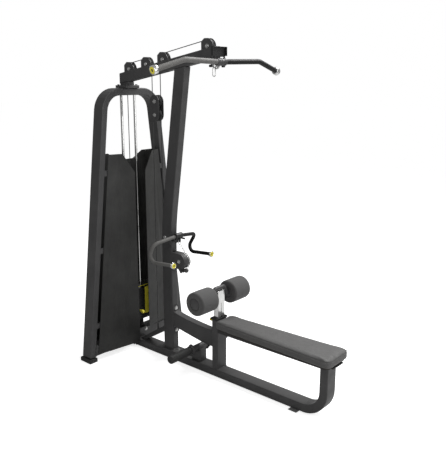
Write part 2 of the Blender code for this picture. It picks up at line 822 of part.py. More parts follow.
def build_beam():
    face = UPRIGHT_X + UPRIGHT_HALF + GAP
    start, end = face + 0.004, POST_X[0] - GAP
    upper = [(start, 0.395), (-0.390, 0.377), (-0.300, 0.364), (-0.194, 0.354)]
    upper += [(-0.100, 0.348), (end, 0.345)]
    lower = [(end, 0.222), (-0.100, 0.223), (-0.160, 0.228), (-0.280, 0.247)]
    lower += [(-0.393, 0.266), (start, 0.273)]
    beam = flat("seat_beam", "xz", upper + lower, -HALF_60, HALF_60, FRAME_GREY, 0.005)
    unite(beam, block("beam flange", (face, -0.0295, 0.218), (face + FLANGE, 0.0295, 0.431)))
    for z in (0.236, 0.414):
        unite(beam, bolt_head(f"beam bolt {z}", (face + FLANGE, 0, z), "x"))


def build_brace():
    """A strut behind the upright, with the fixed end of the row cable on top."""
    rear = UPRIGHT_X - UPRIGHT_HALF - GAP
    foot = RAIL_Z[1] + GAP
    outline = [(-0.836, foot), (-0.777, foot), (rear, 0.2025), (rear, 0.2465)]
    brace = flat("rear_brace", "xz", outline, -0.025, 0.025, FRAME_GREY, 0.003)
    anchor_x = BLOCK_LOWER[0] - PITCH
    unite(brace, rod("anchor", (anchor_x, 0, 0.170), (anchor_x, 0, ANCHOR_TOP), 0.0085, sides=12))


def build_rail():
    middle = sum(RAIL_Z) / 2
    corners = [(RAIL_REAR, middle, 0), (END_POST_X, middle, 0), (END_POST_X, END_POST_TOP, 0)]
    path = [Vector(point[:2]) for point in rounded_path(corners, (0.150,), 9)]
    rail = flat("base_rail", "xz", ribbon(path, 0.030), -RAIL_HALF, RAIL_HALF, FRAME_GREY, 0.006)
    plate_x = TOWER_X + TOWER_DEPTH / 2 + GAP
    plate = block("rail end plate", (plate_x, -0.072, 0.014), (plate_x + FLANGE, 0.072, 0.132))
    unite(rail, plate)
    for y in (-0.061, 0.061):
        for z in (0.034, 0.112):
            unite(rail, bolt_head(f"end bolt {y} {z}", (plate_x + FLANGE, y, z), "x"))


def build_bench():
    low = RAIL_Z[1] + GAP
    rear, front = POST_X
    post = block("front_post", (rear, -0.050, low), (front, 0.050, POST_TOP), FRAME_GREY, 0.005)
    bore = block("post bore", (-0.0294, -0.0374, 0.130), (0.0134, 0.0374, 0.60))
    pin_bore = rod("pin bore 2", (-0.060, 0, 0.418), (-0.020, 0, 0.418), 0.0056, sides=12)
    cut(post, bore, pin_bore)
    collar = block("post_collar", (-0.042, -0.057, POST_TOP + GAP), (0.0205, 0.057, 0.4600), RUBBER, 0.002)
    cut(collar, block("collar bore", (-0.0294, -0.0374, 0.40), (0.0134, 0.0374, 0.60)))

    low, high = (front + GAP, -0.050, 0.352), (0.8705, 0.050, 0.3892)
    support = block("seat_support", low, high, BLACK_STEEL, 0.004)
    plate = block("seat end plate", (0.846, -0.060, END_POST_TOP + GAP), (0.975, 0.060, 0.3892))
    unite(support, plate)
    board_low = 0.3892 + GAP
    block("seat_board", (0.034, -0.118, board_low), (0.968, 0.118, PAD_BOTTOM - GAP), PLYWOOD, 0.002)
    corner = 0.045
    outline = []
    for x, sx, sy, start in (
        (SEAT_X[1], 1, 1, 0),
        (SEAT_X[0], -1, 1, 90),
        (SEAT_X[0], -1, -1, 180),
        (SEAT_X[1], 1, -1, 270),
    ):
        outline += arc((x - sx * corner, sy * (SEAT_HALF - corner)), corner, start, start + 90, 5)
    flat("seat_pad", "xy", outline, PAD_BOTTOM, SEAT_TOP, PAD_GREY, 0.010)


def build_thigh_hold_down():
    post_top = YOKE_TOP_Z - 0.016 - GAP
    post = block("thigh_post", (-0.0290, -0.0370, 0.165), (0.0130, 0.0370, post_top), CHROME, 0.003)
    groove = block("lock groove", (-0.040, -0.0062, 0.17), (-0.0240, 0.0062, 0.62))
    slot = block("front slot", (0.0070, -0.0050, 0.30), (0.030, 0.0050, 0.568))
    cut(post, groove, slot)
    corners = [
        (THIGH_X, -0.2575, THIGH_AXIS_Z),
        (THIGH_X, -0.076, THIGH_AXIS_Z),
        (THIGH_X, -0.046, YOKE_TOP_Z),
        (THIGH_X, 0.046, YOKE_TOP_Z),
        (THIGH_X, 0.076, THIGH_AXIS_Z),
        (THIGH_X, 0.2575, THIGH_AXIS_Z),
    ]
    path = rounded_path(corners, (0.018, 0.022, 0.022, 0.018), 20)
    yoke = tube("thigh_yoke", path, 0.016, FRAME_GREY, 3)
    low, high = ROLLER_Y
    bore, outer, round_off = 0.0166, ROLLER_RADIUS, 0.012
    half = (high - low) / 2
    profile = [(bore, half), (outer - round_off, half)]
    profile += [(r, z) for r, z in arc((outer - round_off, half - round_off), round_off, 60, 0, 2)]
    profile += [(r, -z) for r, z in arc((outer - round_off, half - round_off), round_off, 0, 60, 2)]
    profile += [(outer - round_off, -half), (bore, -half)]
    rollers = []
    for name, side in (("thigh_roller_near", -1), ("thigh_roller_far", 1)):
        centre = (THIGH_X, side * (low + high) / 2, THIGH_AXIS_Z)
        rollers.append(turned(name, profile, centre, "y", FOAM, 22, True))
    hold_on("thigh slide", (THIGH_X, 0, THIGH_AXIS_Z), post, yoke, *rollers)
    knob = [(0, 0.060), (0.0085, 0.060), (0.0115, 0.056), (0.0115, 0.040), (0.0085, 0.036)]
    knob += [(0.0065, 0.035), (0.0065, 0.018), (0.0090, 0.016), (0.0090, 0.0003)]
    knob += [(0.0050, 0.0003), (0.0050, -0.0085), (0, -0.0085)]
    pin = turned("pop_pin", knob, (POST_X[0], 0, 0.418), "x", YELLOW, 16)
    pin.rotation_euler = (0, 0, math.pi)


def build_footrest():
    x, z = FOOTREST
    low = RAIL_Z[1] + GAP
    bar = rod("footrest_frame", (x, -0.300, z), (x, 0.300, z), FOOTREST_RADIUS, FRAME_GREY, 20)
    post = block("footrest post", (-0.2550, -HALF_60, low), (-0.1640, HALF_60, z - 0.006))
    unite(bar, post)
    for side in (-1, 1):
        collar = rod(f"collar {side}", (x, side * 0.078, z), (x, side * 0.098, z), 0.034, sides=20)
        lug = block(
            f"lug foot {side}",
            (x - 0.010, min(side * 0.078, side * 0.098), z - 0.043),
            (x + 0.010, max(side * 0.078, side * 0.098), z + 0.043),
        )
        unite(bar, collar, lug)
    sleeve = [
        (0, 0.1000), (0.024, 0.1000), (0.0310, 0.0940), (0.0310, -0.0900),
        (0.0254, -0.0900), (0.0254, 0.0945), (0, 0.0945),
    ]
    for name, side in (("foot_sleeve_near", -1), ("foot_sleeve_far", 1)):
        bm = bmesh.new()
        add_turned(bm, sleeve, (0, 0, 0), "y", 20)
        if side < 0:
            bm.transform(Matrix.Rotation(math.pi, 4, "Z"))
        obj = mesh_object(name, bm, RUBBER)
        obj.location = (x, side * 0.2060, z)


# ---------------------------------------------------------------- row station


def build_row_station():
    x, z = ROW_PULLEY
    back = UPRIGHT_X + UPRIGHT_HALF + GAP
    outline = [(back, z + 0.058)] + arc(ROW_PULLEY, 0.058, 90, -90, 12) + [(back, z - 0.058)]
    cover = flat("row_pulley_cover", "xz", outline, -HALF_60, HALF_60, FRAME_GREY)
    inner = [(back - 0.01, z + 0.0545)] + arc(ROW_PULLEY, 0.0545, 90, -90, 14)
    inner.append((back - 0.01, z - 0.0545))
    cavity = flat("row cavity", "xz", inner, -0.0255, 0.0255)
    mouth = block("row mouth", (x - 0.020, -0.0070, z - 0.075), (x + 0.075, 0.0070, z - 0.026))
    chin = [
        (x - 0.030, z - 0.050),
        (x + 0.004, z - 0.050),
        (x + 0.016, z - 0.083),
        (x + 0.006, z - 0.093),
    ]
    unite(cover, flat("row chin", "xz", chin, -0.020, 0.020))
    throat = block("row throat", (x - 0.020, -0.0070, z - 0.100), (x + 0.075, 0.0070, z - 0.048))
    cut(cover, cavity, mouth, throat)
    unite(cover, axle_bolt("row axle", ROW_PULLEY, 2 * HALF_60))

    plate_x = UPRIGHT_X + UPRIGHT_HALF + 0.0015
    rest_z = HANDLE_HUB[1] - 0.0300
    low, high = (plate_x, -0.056, 0.925), (plate_x + 0.006, 0.056, 0.976)
    rest = block("handle_rest", low, high, BLACK_STEEL)
    for side in (-1, 1):
        start = (plate_x + 0.003, side * 0.048, rest_z)
        end = (HANDLE_HUB[0] + 0.016, side * 0.048, rest_z)
        unite(rest, rod(f"rest peg {side}", start, end, 0.0065, sides=12))
    window = block("rest window", (plate_x - 0.02, -0.0155, 0.90), (plate_x + 0.02, 0.0155, 0.9650))
    cut(rest, window)


def handle_path():
    hub_x, hub_z = HANDLE_HUB
    half = [
        (-0.443, 0.220, 0.961),
        (-0.524, 0.200, 0.812),
        (-0.275, 0.201, 0.832),
    ]
    corners = [(x, -y, z) for x, y, z in reversed(half)]
    corners += [(hub_x, 0, hub_z)] + half
    return rounded_path(corners, (0.045, 0.045, 0.30, 0.045, 0.045), 20)


def build_handle():
    path = handle_path()
    handle = tube_mesh("row_handle", path, HANDLE_RADIUS, GRIP, 2)
    hub_x, hub_z = HANDLE_HUB
    hub = block("handle hub", (hub_x - 0.019, -0.034, hub_z - 0.022), (hub_x + 0.019, 0.034, hub_z + 0.019))
    round_edges(hub, 0.004, 1)
    tab = flat(
        "handle tab",
        "xz",
        arc((hub_x + 0.006, hub_z - 0.036), 0.014, 180, 360, 8)
        + [(hub_x + 0.020, hub_z - 0.010), (hub_x - 0.008, hub_z - 0.010)],
        -0.004,
        0.004,
    )
    eye_centre = (hub_x + 0.006, 0, hub_z - 0.036)
    eye_x, eye_y, eye_z = eye_centre
    eye = rod("handle eye", (eye_x, eye_y - 0.02, eye_z), (eye_x, eye_y + 0.02, eye_z), 0.0085)
    unite(handle, hub, tab)
    cut(handle, eye)
    near = end_knob("row_handle_cap_near", path[0], path[0] - path[1], 0.0225, 0.021)
    far = end_knob("row_handle_cap_far", path[-1], path[-1] - path[-2], 0.0225, 0.021)
    hold_on("handle swivel", eye_centre, handle, near, far)
    return eye_centre


def end_knob(name, end, outward, radius, length):
    """A turned end knob whose inner face stands just off the tube's end."""
    profile = [
        (0, length),
        (radius * 0.55, length),
        (radius * 0.60, length - 0.002),
        (radius * 0.90, length - 0.002),
        (radius, length - 0.006),
        (radius, 0.004),
        (radius * 0.8, 0),
        (0, 0),
    ]
    outward = Vector(outward).normalized()
    knob = turned(name, profile, Vector(end) + outward * GAP, "z", CHROME, 14)
    knob.rotation_euler = outward.to_track_quat("Z", "Y").to_euler()
    return knob


def add_link(bm, centre, along, half_length, half_width, wire, turned_over):
    """A stadium-shaped ring of round wire lying along a direction in the mid plane."""
    part = bmesh.new()
    sections = []
    steps = 5
    straight = half_length - half_width
    for end in (1, -1):
        for step in range(steps + 1):
            angle = math.pi * step / steps - math.pi / 2
            a = end * (straight + half_width * math.cos(angle))
            b = end * half_width * math.sin(angle)
            sections.append((a, b, angle if end > 0 else angle + math.pi))
    rings = []
    for a, b, angle in sections:
        outward = Vector((math.cos(angle), math.sin(angle), 0))
        ring = []
        for step in range(6):
            turn = 2 * math.pi * step / 6
            offset = outward * math.cos(turn) * wire + Vector((0, 0, 1)) * math.sin(turn) * wire
            ring.append(part.verts.new(Vector((a, b, 0)) + offset))
        rings.append(ring)
    for ring, following in zip(rings, rings[1:] + rings[:1]):
        for step in range(6):
            after = (step + 1) % 6
            part.faces.new((ring[step], ring[after], following[after], following[step]))
    bmesh.ops.recalc_face_normals(part, faces=part.faces)
    direction = Vector(along).normalized()
    turn = Matrix.Rotation(math.pi / 2 if turned_over else 0, 4, "X")
    lie = direction.to_track_quat("X", "Y").to_matrix().to_4x4()
    part.transform(Matrix.Translation(centre) @ lie @ turn)
    mesh = bpy.data.meshes.new("link")
    part.to_mesh(mesh)
    part.free()
    bm.from_mesh(mesh)
    bpy.data.meshes.remove(mesh)


def ball(name, centre, radius, finish):
    profile = [(0, radius)]
    for angle in range(20, 161, 20):
        turn = math.radians(angle)
        profile.append((radius * math.sin(turn), radius * math.cos(turn)))
    profile.append((0, -radius))
    return turned(name, profile, centre, "z", finish, 12)


def build_row_clip(eye_centre):
    """The ball that stops the row cable, with the chain up to the handle's eye."""
    centre = Vector((ROW_BALL[0], 0, ROW_BALL[1]))
    clip = ball("row_clip", centre, BALL_RADIUS, STEEL)
    eye = Vector(eye_centre)
    hook_centre = eye + Vector((0.0040, 0, -0.0130))
    hook_end = eye + Vector((0.0060, 0, -0.0290))
    chain = rounded_path((centre, CHAIN_BEND, hook_end), (0.040,), 20)
    unite(clip, tube_mesh("chain", chain, 0.0035))
    hook = bmesh.new()
    add_link(hook, hook_centre, hook_end - hook_centre, 0.0165, 0.0105, 0.0022, True)
    unite(clip, mesh_object("chain hook", hook))
    hold_on("row slide", tuple(centre), clip)


# ---------------------------------------------------------------- lat station


def build_lat_bar():
    half = [BAR_BEND, BAR_END]
    corners = [(x, -y, z) for x, y, z in reversed(half)] + [(BAR_X, 0, BAR_Z)] + half
    path = rounded_path(corners, (0.12, 0.60, 0.12), 6)
    bar = tube_mesh("lat_bar", path, BAR_RADIUS, GRIP, 3)
    hub = rod("bar hub", (BAR_X, -0.043, BAR_Z), (BAR_X, 0.043, BAR_Z), 0.0245, sides=20)
    lug_x = BAR_X - 0.030
    outline = arc((lug_x, BAR_Z - 0.032), 0.013, 135, 315, 8)
    outline += [(BAR_X + 0.004, BAR_Z - 0.016), (BAR_X - 0.016, BAR_Z + 0.004)]
    lug = flat("bar lug", "xz", outline, -0.005, 0.005)
    eye = rod("bar eye", (lug_x, -0.02, BAR_Z - 0.032), (lug_x, 0.02, BAR_Z - 0.032), 0.0075, sides=14)
    unite(bar, hub, lug)
    cut(bar, eye)
    near = end_knob("lat_bar_cap_near", path[0], path[0] - path[1], 0.0275, 0.036)
    far = end_knob("lat_bar_cap_far", path[-1], path[-1] - path[-2], 0.0275, 0.036)
    eye_centre = (lug_x, 0, BAR_Z - 0.032)
    hold_on("bar pivot", eye_centre, bar, near, far)
    return eye_centre


def build_lat_clip(eye_centre):
    """The ball that stops the lat cable, with the ring that holds the bar."""
    stop = (LAT_DROP_X, 0, BAR_Z + 0.003)
    clip = ball("lat_clip", stop, 0.015, STEEL)
    unite(clip, rod("stop stem", stop, (LAT_DROP_X, 0, BAR_Z - 0.037), 0.004, sides=10))
    ring = bmesh.new()
    centre = ((LAT_DROP_X + eye_centre[0]) / 2 + 0.0016, 0, eye_centre[2])
    add_link(ring, centre, (1, 0, 0), 0.0176, 0.0110, 0.0026, True)
    unite(clip, mesh_object("clip ring", ring))
    hold_on("lat slide", stop, clip)


def build_bar_holder():
    """A shallow open box on the boom's end, with two tips below for the lat bar."""
    x = BOOM_X[1] + GAP
    thick = 0.004
    holder = block("bar_holder", (x, -0.069, 2.262), (x + thick, 0.069, 2.326), BLACK_STEEL)
    lid = block("holder lid", (x, -0.069, 2.326 - thick), (x + 0.022, 0.069, 2.326))
    unite(holder, lid)
    for side in (-1, 1):
        low, high = sorted((side * 0.055, side * 0.069))
        arm = block(f"holder arm {side}", (x, low, 2.200), (x + thick, high, 2.270))
        low, high = sorted((side * (0.069 - thick), side * 0.069))
        wall = block(f"holder wall {side}", (x, low, 2.268), (x + 0.022, high, 2.326))
        start, end = (x - 0.016, side * 0.062, 2.2035), (x + thick, side * 0.062, 2.2035)
        tip = rod(f"holder tip {side}", start, end, 0.0085, sides=14)
        unite(holder, arm, wall, tip)


def main():
    global CUTTERS, PARTS
    clear_scene()
    PARTS = new_collection("lat_pulldown_machine")
    CUTTERS = new_collection("cutters")
    build_tower()
    build_feet()
    build_guides()
    build_shrouds()
    build_rear_shroud()
    build_stack()
    build_boom()
    build_covers()
    build_pulleys()
    build_upright()
    build_beam()
    build_brace()
    build_rail()
    build_bench()
    build_thigh_hold_down()
    build_footrest()
    build_row_station()
    build_row_clip(build_handle())
    build_lat_clip(build_lat_bar())
    build_bar_holder()
    build_lat_cable()
    build_row_cable()


main()
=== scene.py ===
"""Looks of the lat pulldown machine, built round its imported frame.

Metres, in the frame's axes: +X runs from the weight tower to the outer end of the
bench, "near" is the -Y side and "far" the +Y side.
"""

import json
import math

import bmesh
import bpy
from mathutils import Matrix, Vector, noise


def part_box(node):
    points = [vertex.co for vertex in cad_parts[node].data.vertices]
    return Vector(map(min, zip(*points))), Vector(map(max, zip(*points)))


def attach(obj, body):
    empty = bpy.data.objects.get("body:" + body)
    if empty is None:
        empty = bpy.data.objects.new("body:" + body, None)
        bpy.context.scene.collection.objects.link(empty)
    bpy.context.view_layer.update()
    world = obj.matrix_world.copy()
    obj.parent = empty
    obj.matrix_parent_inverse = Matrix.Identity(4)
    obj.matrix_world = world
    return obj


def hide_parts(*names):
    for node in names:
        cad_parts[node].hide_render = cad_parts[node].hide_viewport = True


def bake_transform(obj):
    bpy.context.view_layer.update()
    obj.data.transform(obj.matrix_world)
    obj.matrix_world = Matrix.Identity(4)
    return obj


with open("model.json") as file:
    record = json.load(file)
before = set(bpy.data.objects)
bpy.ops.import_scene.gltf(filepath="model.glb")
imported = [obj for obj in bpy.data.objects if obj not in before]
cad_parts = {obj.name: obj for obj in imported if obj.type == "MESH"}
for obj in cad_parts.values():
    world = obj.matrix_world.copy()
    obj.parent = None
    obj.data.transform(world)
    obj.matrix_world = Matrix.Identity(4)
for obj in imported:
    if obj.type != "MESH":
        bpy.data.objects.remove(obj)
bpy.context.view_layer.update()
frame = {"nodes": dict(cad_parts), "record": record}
NODES = frame["nodes"]

# Camera, as solved from the machine's own proportions.
CAMERA_AZIMUTH = 40.7
CAMERA_ELEVATION = 13.41
CAMERA_PLACE = (2.7498, -3.1646, 2.1349)
CAMERA_LENS = 49.74

SKY_LIGHT = 0.34  # how strongly the white surroundings light the machine
FLOOR_GLOW = 0.76  # added to the floor in the camera only, so it stays near white

# Pulleys, from the axle out to the middle of the cable and to the rim, and the cable.
PULLEY_TURN = 23.2558  # radians that a pulley turns for each metre of cable
PITCH = 1 / PULLEY_TURN
PULLEY_RIM = 0.0465
ROW_PITCH = 0.05
ROW_RIM = 0.053
CABLE_RADIUS = 0.003

# Bars, and what hangs between them and the cables.
LAT_HUB = Vector((0.008, 0, 2.229))
LAT_BAR_RADIUS = 0.0175
ROW_HUB = Vector((-0.406, 0, 0.992))
ROW_HANDLE_RADIUS = 0.0135
LAT_BALL_Z = 2.232
ROW_BALL = Vector((-0.331, 0, 0.737))

# Weight stack, counted from the floor.
PLATE_PITCH = 0.019
PLATE_COUNT = 14
PLATES_RESTING = 4

PAD_TAPER = 0.28  # how much narrower the cushion is at its inner end


# ---------------------------------------------------------------- material helpers


class Graph:
    """A short way to write node trees."""

    def __init__(self, name):
        self.material = bpy.data.materials.new(name)
        self.material.use_nodes = True
        self.nodes = self.material.node_tree.nodes
        self.links = self.material.node_tree.links
        self.shader = self.nodes["Principled BSDF"]
        self.place = self.add("TexCoord").outputs["Object"]

    def link(self, output, socket):
        self.links.new(output, socket)

    def add(self, kind, **inputs):
        """A shader node with values set on its inputs by name."""
        node = self.nodes.new("ShaderNode" + kind)
        for name, value in inputs.items():
            node.inputs[name.replace("_", " ")].default_value = value
        return node

    def noise(self, scale, detail=4.0, roughness=0.55, place=None, distortion=0.0):
        settings = {"Scale": scale, "Detail": detail, "Roughness": roughness}
        node = self.add("TexNoise", **settings, Distortion=distortion)
        self.link(place or self.place, node.inputs["Vector"])
        return node.outputs["Fac"]

    def cells(self, scale, feature="F1"):
        node = self.add("TexVoronoi", Scale=scale)
        node.feature = feature
        self.link(self.place, node.inputs["Vector"])
        return node.outputs["Distance"]

    def stretched(self, scale):
        node = self.add("Mapping", Scale=scale)
        self.link(self.place, node.inputs["Vector"])
        return node.outputs["Vector"]

    def band(self, value, low, high, out_low, out_high):
        node = self.add("MapRange", From_Min=low, From_Max=high, To_Min=out_low, To_Max=out_high)
        self.link(value, node.inputs["Value"])
        return node.outputs["Result"]

    def ramp(self, value, stops):
        node = self.add("ValToRGB")
        ramp = node.color_ramp
        ramp.elements[0].position, ramp.elements[0].color = stops[0][0], (*stops[0][1], 1)
        ramp.elements[1].position, ramp.elements[1].color = stops[-1][0], (*stops[-1][1], 1)
        for position, colour in stops[1:-1]:
            ramp.elements.new(position).color = (*colour, 1)
        self.link(value, node.inputs["Fac"])
        return node.outputs["Color"]

    def math(self, operation, a, b):
        node = self.add("Math")
        node.operation = operation
        for value, socket in zip((a, b), node.inputs):
            if isinstance(value, (int, float)):
                socket.default_value = value
            else:
                self.link(value, socket)
        return node.outputs["Value"]

    def mix(self, factor, a, b):
        node = self.add("Mix")
        node.data_type = "RGBA"
        for value, name in ((a, "A"), (b, "B")):
            socket = [s for s in node.inputs if s.name == name and s.type == "RGBA"][0]
            if isinstance(value, tuple):
                socket.default_value = (*value, 1)
            else:
                self.link(value, socket)
        self.link(factor, node.inputs["Factor"])
        return [s for s in node.outputs if s.type == "RGBA"][0]

    def bump(self, height, strength, distance, before=None):
        node = self.add("Bump", Strength=strength, Distance=distance)
        self.link(height, node.inputs["Height"])
        if before:
            self.link(before, node.inputs["Normal"])
        return node.outputs["Normal"]

    def edges(self):
        """Bright along convex edges, for wear."""
        node = self.add("NewGeometry")
        return self.band(node.outputs["Pointiness"], 0.52, 0.58, 0.0, 1.0)

    def up(self):
        """How far a face looks up, for dust."""
        normal = self.add("NewGeometry").outputs["Normal"]
        return self.band(self.part(normal, "Z"), 0.55, 1.0, 0.0, 1.0)

    def part(self, vector, axis):
        """The X, Y or Z of a vector."""
        split = self.add("SeparateXYZ")
        self.link(vector, split.inputs["Vector"])
        return split.outputs[axis]

    def set(self, **values):
        for name, value in values.items():
            self.shader.inputs[name.replace("_", " ")].default_value = value

    def colour(self, output):
        self.link(output, self.shader.inputs["Base Color"])

    def roughness(self, output):
        self.link(output, self.shader.inputs["Roughness"])

    def patchy_roughness(self, scale, detail, low, high):
        self.roughness(self.band(self.noise(scale, detail), 0.3, 0.7, low, high))

    def normal(self, output):
        self.link(output, self.shader.inputs["Normal"])


def grey(level):
    return (level, level, level)


def powder_coat(name, dark, light, worn, roughness=0.46):
    """Powder coat: orange peel, a fine speckle, a little wear on edges and dust on top."""
    graph = Graph(name)
    patches = graph.noise(5.5, 5.0, 0.6)
    speckle = graph.noise(900.0, 2.0, 0.7)
    base = graph.ramp(patches, ((0.3, dark), (0.7, light)))
    speckled = graph.mix(graph.band(speckle, 0.62, 0.78, 0.0, 0.35), base, worn)
    dusted = graph.mix(graph.math("MULTIPLY", graph.up(), 0.1), speckled, (0.2, 0.195, 0.19))
    edge = graph.math("MULTIPLY", graph.edges(), graph.band(patches, 0.4, 0.65, 0.0, 0.3))
    graph.colour(graph.mix(edge, dusted, worn))
    smudge = graph.noise(17.0, 4.0, 0.65)
    graph.roughness(graph.band(smudge, 0.25, 0.75, roughness - 0.07, roughness + 0.09))
    peel = graph.bump(graph.noise(420.0, 3.0, 0.5), 0.1, 0.0006)
    graph.normal(graph.bump(graph.noise(60.0, 2.0, 0.5), 0.05, 0.001, peel))
    graph.set(Metallic=0.0, IOR=1.5, Specular_IOR_Level=0.5)
    return graph.material


def chrome(name, colour=(0.86, 0.86, 0.85), roughness=0.09, brushed=None):
    graph = Graph(name)
    place = graph.stretched(brushed) if brushed else None
    haze = graph.noise(34.0, 5.0, 0.6)
    fine = graph.noise(340.0, 3.0, 0.6, place)
    dull = tuple(value * 0.82 for value in colour)
    graph.colour(graph.ramp(haze, ((0.3, dull), (0.7, colour))))
    low = graph.band(haze, 0.3, 0.8, roughness, roughness + 0.08)
    graph.roughness(graph.math("ADD", low, graph.band(fine, 0.4, 0.7, 0.0, 0.05)))
    graph.normal(graph.bump(fine, 0.05 if brushed else 0.02, 0.0004))
    graph.set(Metallic=1.0)
    return graph.material


def moulded(name, dark, light, roughness, grain, strength):
    """Moulded plastic, rubber or cast paint: faint mottling and a fine grain."""
    graph = Graph(name)
    mottle = graph.noise(26.0, 5.0, 0.6)
    graph.colour(graph.ramp(mottle, ((0.32, dark), (0.68, light))))
    graph.patchy_roughness(55.0, 3.0, roughness - 0.05, roughness + 0.08)
    rough = graph.bump(graph.noise(grain, 3.0, 0.6), strength, 0.0005)
    graph.normal(graph.bump(graph.noise(90.0, 2.0), strength * 0.4, 0.0012, rough))
    return graph.material


def grip_painted_light_and_shade(name, near, far):
    """A grip's coat with painted light on its near half and painted shade on its far half, two tones
    which meet at the hub, just past the mid plane.
    """
    graph = Graph(name)
    # Mask from the near half to the far half: painted light near, painted shade far.
    side = graph.band(graph.part(graph.place, "Y"), 0.01, 0.03, 0.0, 1.0)
    mottle = graph.noise(26.0, 5.0, 0.6)
    painted_lit_and_shaded_tones = []
    for tone in (near, far):
        dull = tuple(value * 0.8 for value in tone)
        painted_lit_and_shaded_tones.append(graph.ramp(mottle, ((0.32, dull), (0.68, tone))))
    graph.colour(graph.mix(side, *painted_lit_and_shaded_tones))
    graph.patchy_roughness(55.0, 3.0, 0.47, 0.6)
    grain = graph.bump(graph.noise(800.0, 3.0, 0.6), 0.18, 0.0005)
    graph.normal(graph.bump(graph.noise(90.0, 2.0), 0.07, 0.0012, grain))
    graph.set(Specular_IOR_Level=0.22)
    return graph.material


def vinyl(name, dark, light):
    """Upholstery vinyl: pebbled grain of small cells with painted shade in the valleys between them,
    faint sheen, slightly mottled.
    """
    graph = Graph(name)
    mottle = graph.noise(7.0, 6.0, 0.62)
    cells = graph.cells(520.0, "DISTANCE_TO_EDGE")
    valley = graph.band(cells, 0.0, 0.12, 0.0, 1.0)
    tone = graph.ramp(mottle, ((0.3, dark), (0.72, light)))
    # The valleys between the cells are darkened as painted shade.
    painted_valley_shade = tuple(value * 0.62 for value in dark)
    graph.colour(graph.mix(valley, painted_valley_shade, tone))
    graph.patchy_roughness(40.0, 4.0, 0.5, 0.64)
    grain = graph.bump(valley, 0.22, 0.0005)
    graph.normal(graph.bump(graph.noise(16.0, 4.0, 0.6), 0.12, 0.003, grain))
    graph.set(Sheen_Weight=0.12, Sheen_Roughness=0.45)
    return graph.material


def foam(name, dark, light):
    """Closed-cell foam: fine open pores darkened as painted shade, and a soft, uneven skin."""
    graph = Graph(name)
    mottle = graph.noise(11.0, 6.0, 0.65)
    pores = graph.cells(620.0)
    pit = graph.band(pores, 0.05, 0.35, 0.0, 1.0)
    tone = graph.ramp(mottle, ((0.3, dark), (0.7, light)))
    # The pores are painted darker, as painted shade in the pits.
    graph.colour(graph.mix(pit, tuple(value * 0.55 for value in dark), tone))
    graph.roughness(graph.band(mottle, 0.3, 0.7, 0.74, 0.9))
    pitted = graph.bump(pit, 0.3, 0.0006)
    graph.normal(graph.bump(graph.noise(38.0, 4.0, 0.6), 0.15, 0.002, pitted))
    graph.set(Sheen_Weight=0.18, Sheen_Roughness=0.6)
    return graph.material


def wood(name, dark, light):
    graph = Graph(name)
    place = graph.stretched((3.0, 40.0, 220.0))
    layers = graph.noise(6.0, 6.0, 0.7, place, 0.8)
    graph.colour(graph.ramp(layers, ((0.3, dark), (0.7, light))))
    graph.roughness(graph.band(layers, 0.3, 0.7, 0.62, 0.8))
    graph.normal(graph.bump(layers, 0.25, 0.0008))
    return graph.material


def sheath(name, dark, light):
    """A coated wire rope: the strands show through the sheath as a slanted ripple."""
    graph = Graph(name)
    wave = graph.add("TexWave", Scale=160.0, Distortion=1.0)
    wave.bands_direction = "DIAGONAL"
    graph.link(graph.place, wave.inputs["Vector"])
    ripple = wave.outputs["Fac"]
    graph.colour(graph.ramp(ripple, ((0.2, dark), (0.8, light))))
    graph.patchy_roughness(80.0, 4.0, 0.36, 0.5)
    graph.normal(graph.bump(ripple, 0.25, 0.0004))
    return graph.material


MATERIALS = {
    "frame_paint": powder_coat(
        "frame powder coat", (0.04, 0.0395, 0.04), (0.052, 0.0512, 0.052), (0.09, 0.088, 0.087)
    ),
    "shroud_paint": powder_coat(
        "shroud powder coat",
        (0.0125, 0.0125, 0.0116),
        (0.017, 0.017, 0.0158),
        (0.04, 0.04, 0.038),
        0.56,
    ),
    "black_steel": powder_coat("black powder coat", grey(0.01), grey(0.015), grey(0.05), 0.42),
    "chrome": chrome("chrome plate"),
    "bright_steel": chrome("zinc plated steel", (0.66, 0.66, 0.65), 0.22, (1.0, 1.0, 14.0)),
    "stack_iron": moulded("black cast iron", grey(0.012), grey(0.02), 0.52, 300.0, 0.3),
    "rubber": moulded("black rubber", grey(0.016), (0.026, 0.026, 0.025), 0.7, 500.0, 0.25),
    "pulley_nylon": moulded("turned nylon", grey(0.01), grey(0.017), 0.36, 260.0, 0.08),
    "cable_sheath": sheath("cable sheath", grey(0.02), grey(0.045)),
    "seat_vinyl": vinyl("seat vinyl", (0.082, 0.0805, 0.079), (0.106, 0.104, 0.102)),
    "roller_foam": foam("roller foam", (0.048, 0.047, 0.047), (0.063, 0.062, 0.061)),
    "plywood": wood("stained plywood", (0.012, 0.01, 0.009), (0.03, 0.026, 0.022)),
    # The near tone is painted light and the far tone is painted shade.
    "grip_rubber": grip_painted_light_and_shade("grip coat with painted light and shade", (0.15, 0.147, 0.141), grey(0.012)),
    "foot_grey": moulded("grey rubber foot", grey(0.15), grey(0.2), 0.6, 500.0, 0.2),
    "yellow_plastic": moulded(
        "yellow plastic", (0.8, 0.7, 0.05), (0.88, 0.78, 0.07), 0.34, 500.0, 0.06
    ),
}

# Nodes that look lighter than the rest of their slot.
LOOKS = {"front_floor_pad": "foot_grey"}


def dress_cad_nodes():
    """Every node that stays gets its slot's material, and smooth round faces."""
    for entry in frame["record"]["subparts"]:
        node = NODES[entry["node"]]
        material = MATERIALS[LOOKS.get(entry["node"], entry["material_slot"])]
        node.data.materials.clear()
        node.data.materials.append(material)
        for polygon in node.data.polygons:
            polygon.use_smooth = True
        node.data.set_sharp_from_angle(angle=math.radians(38))


# ---------------------------------------------------------------- stage


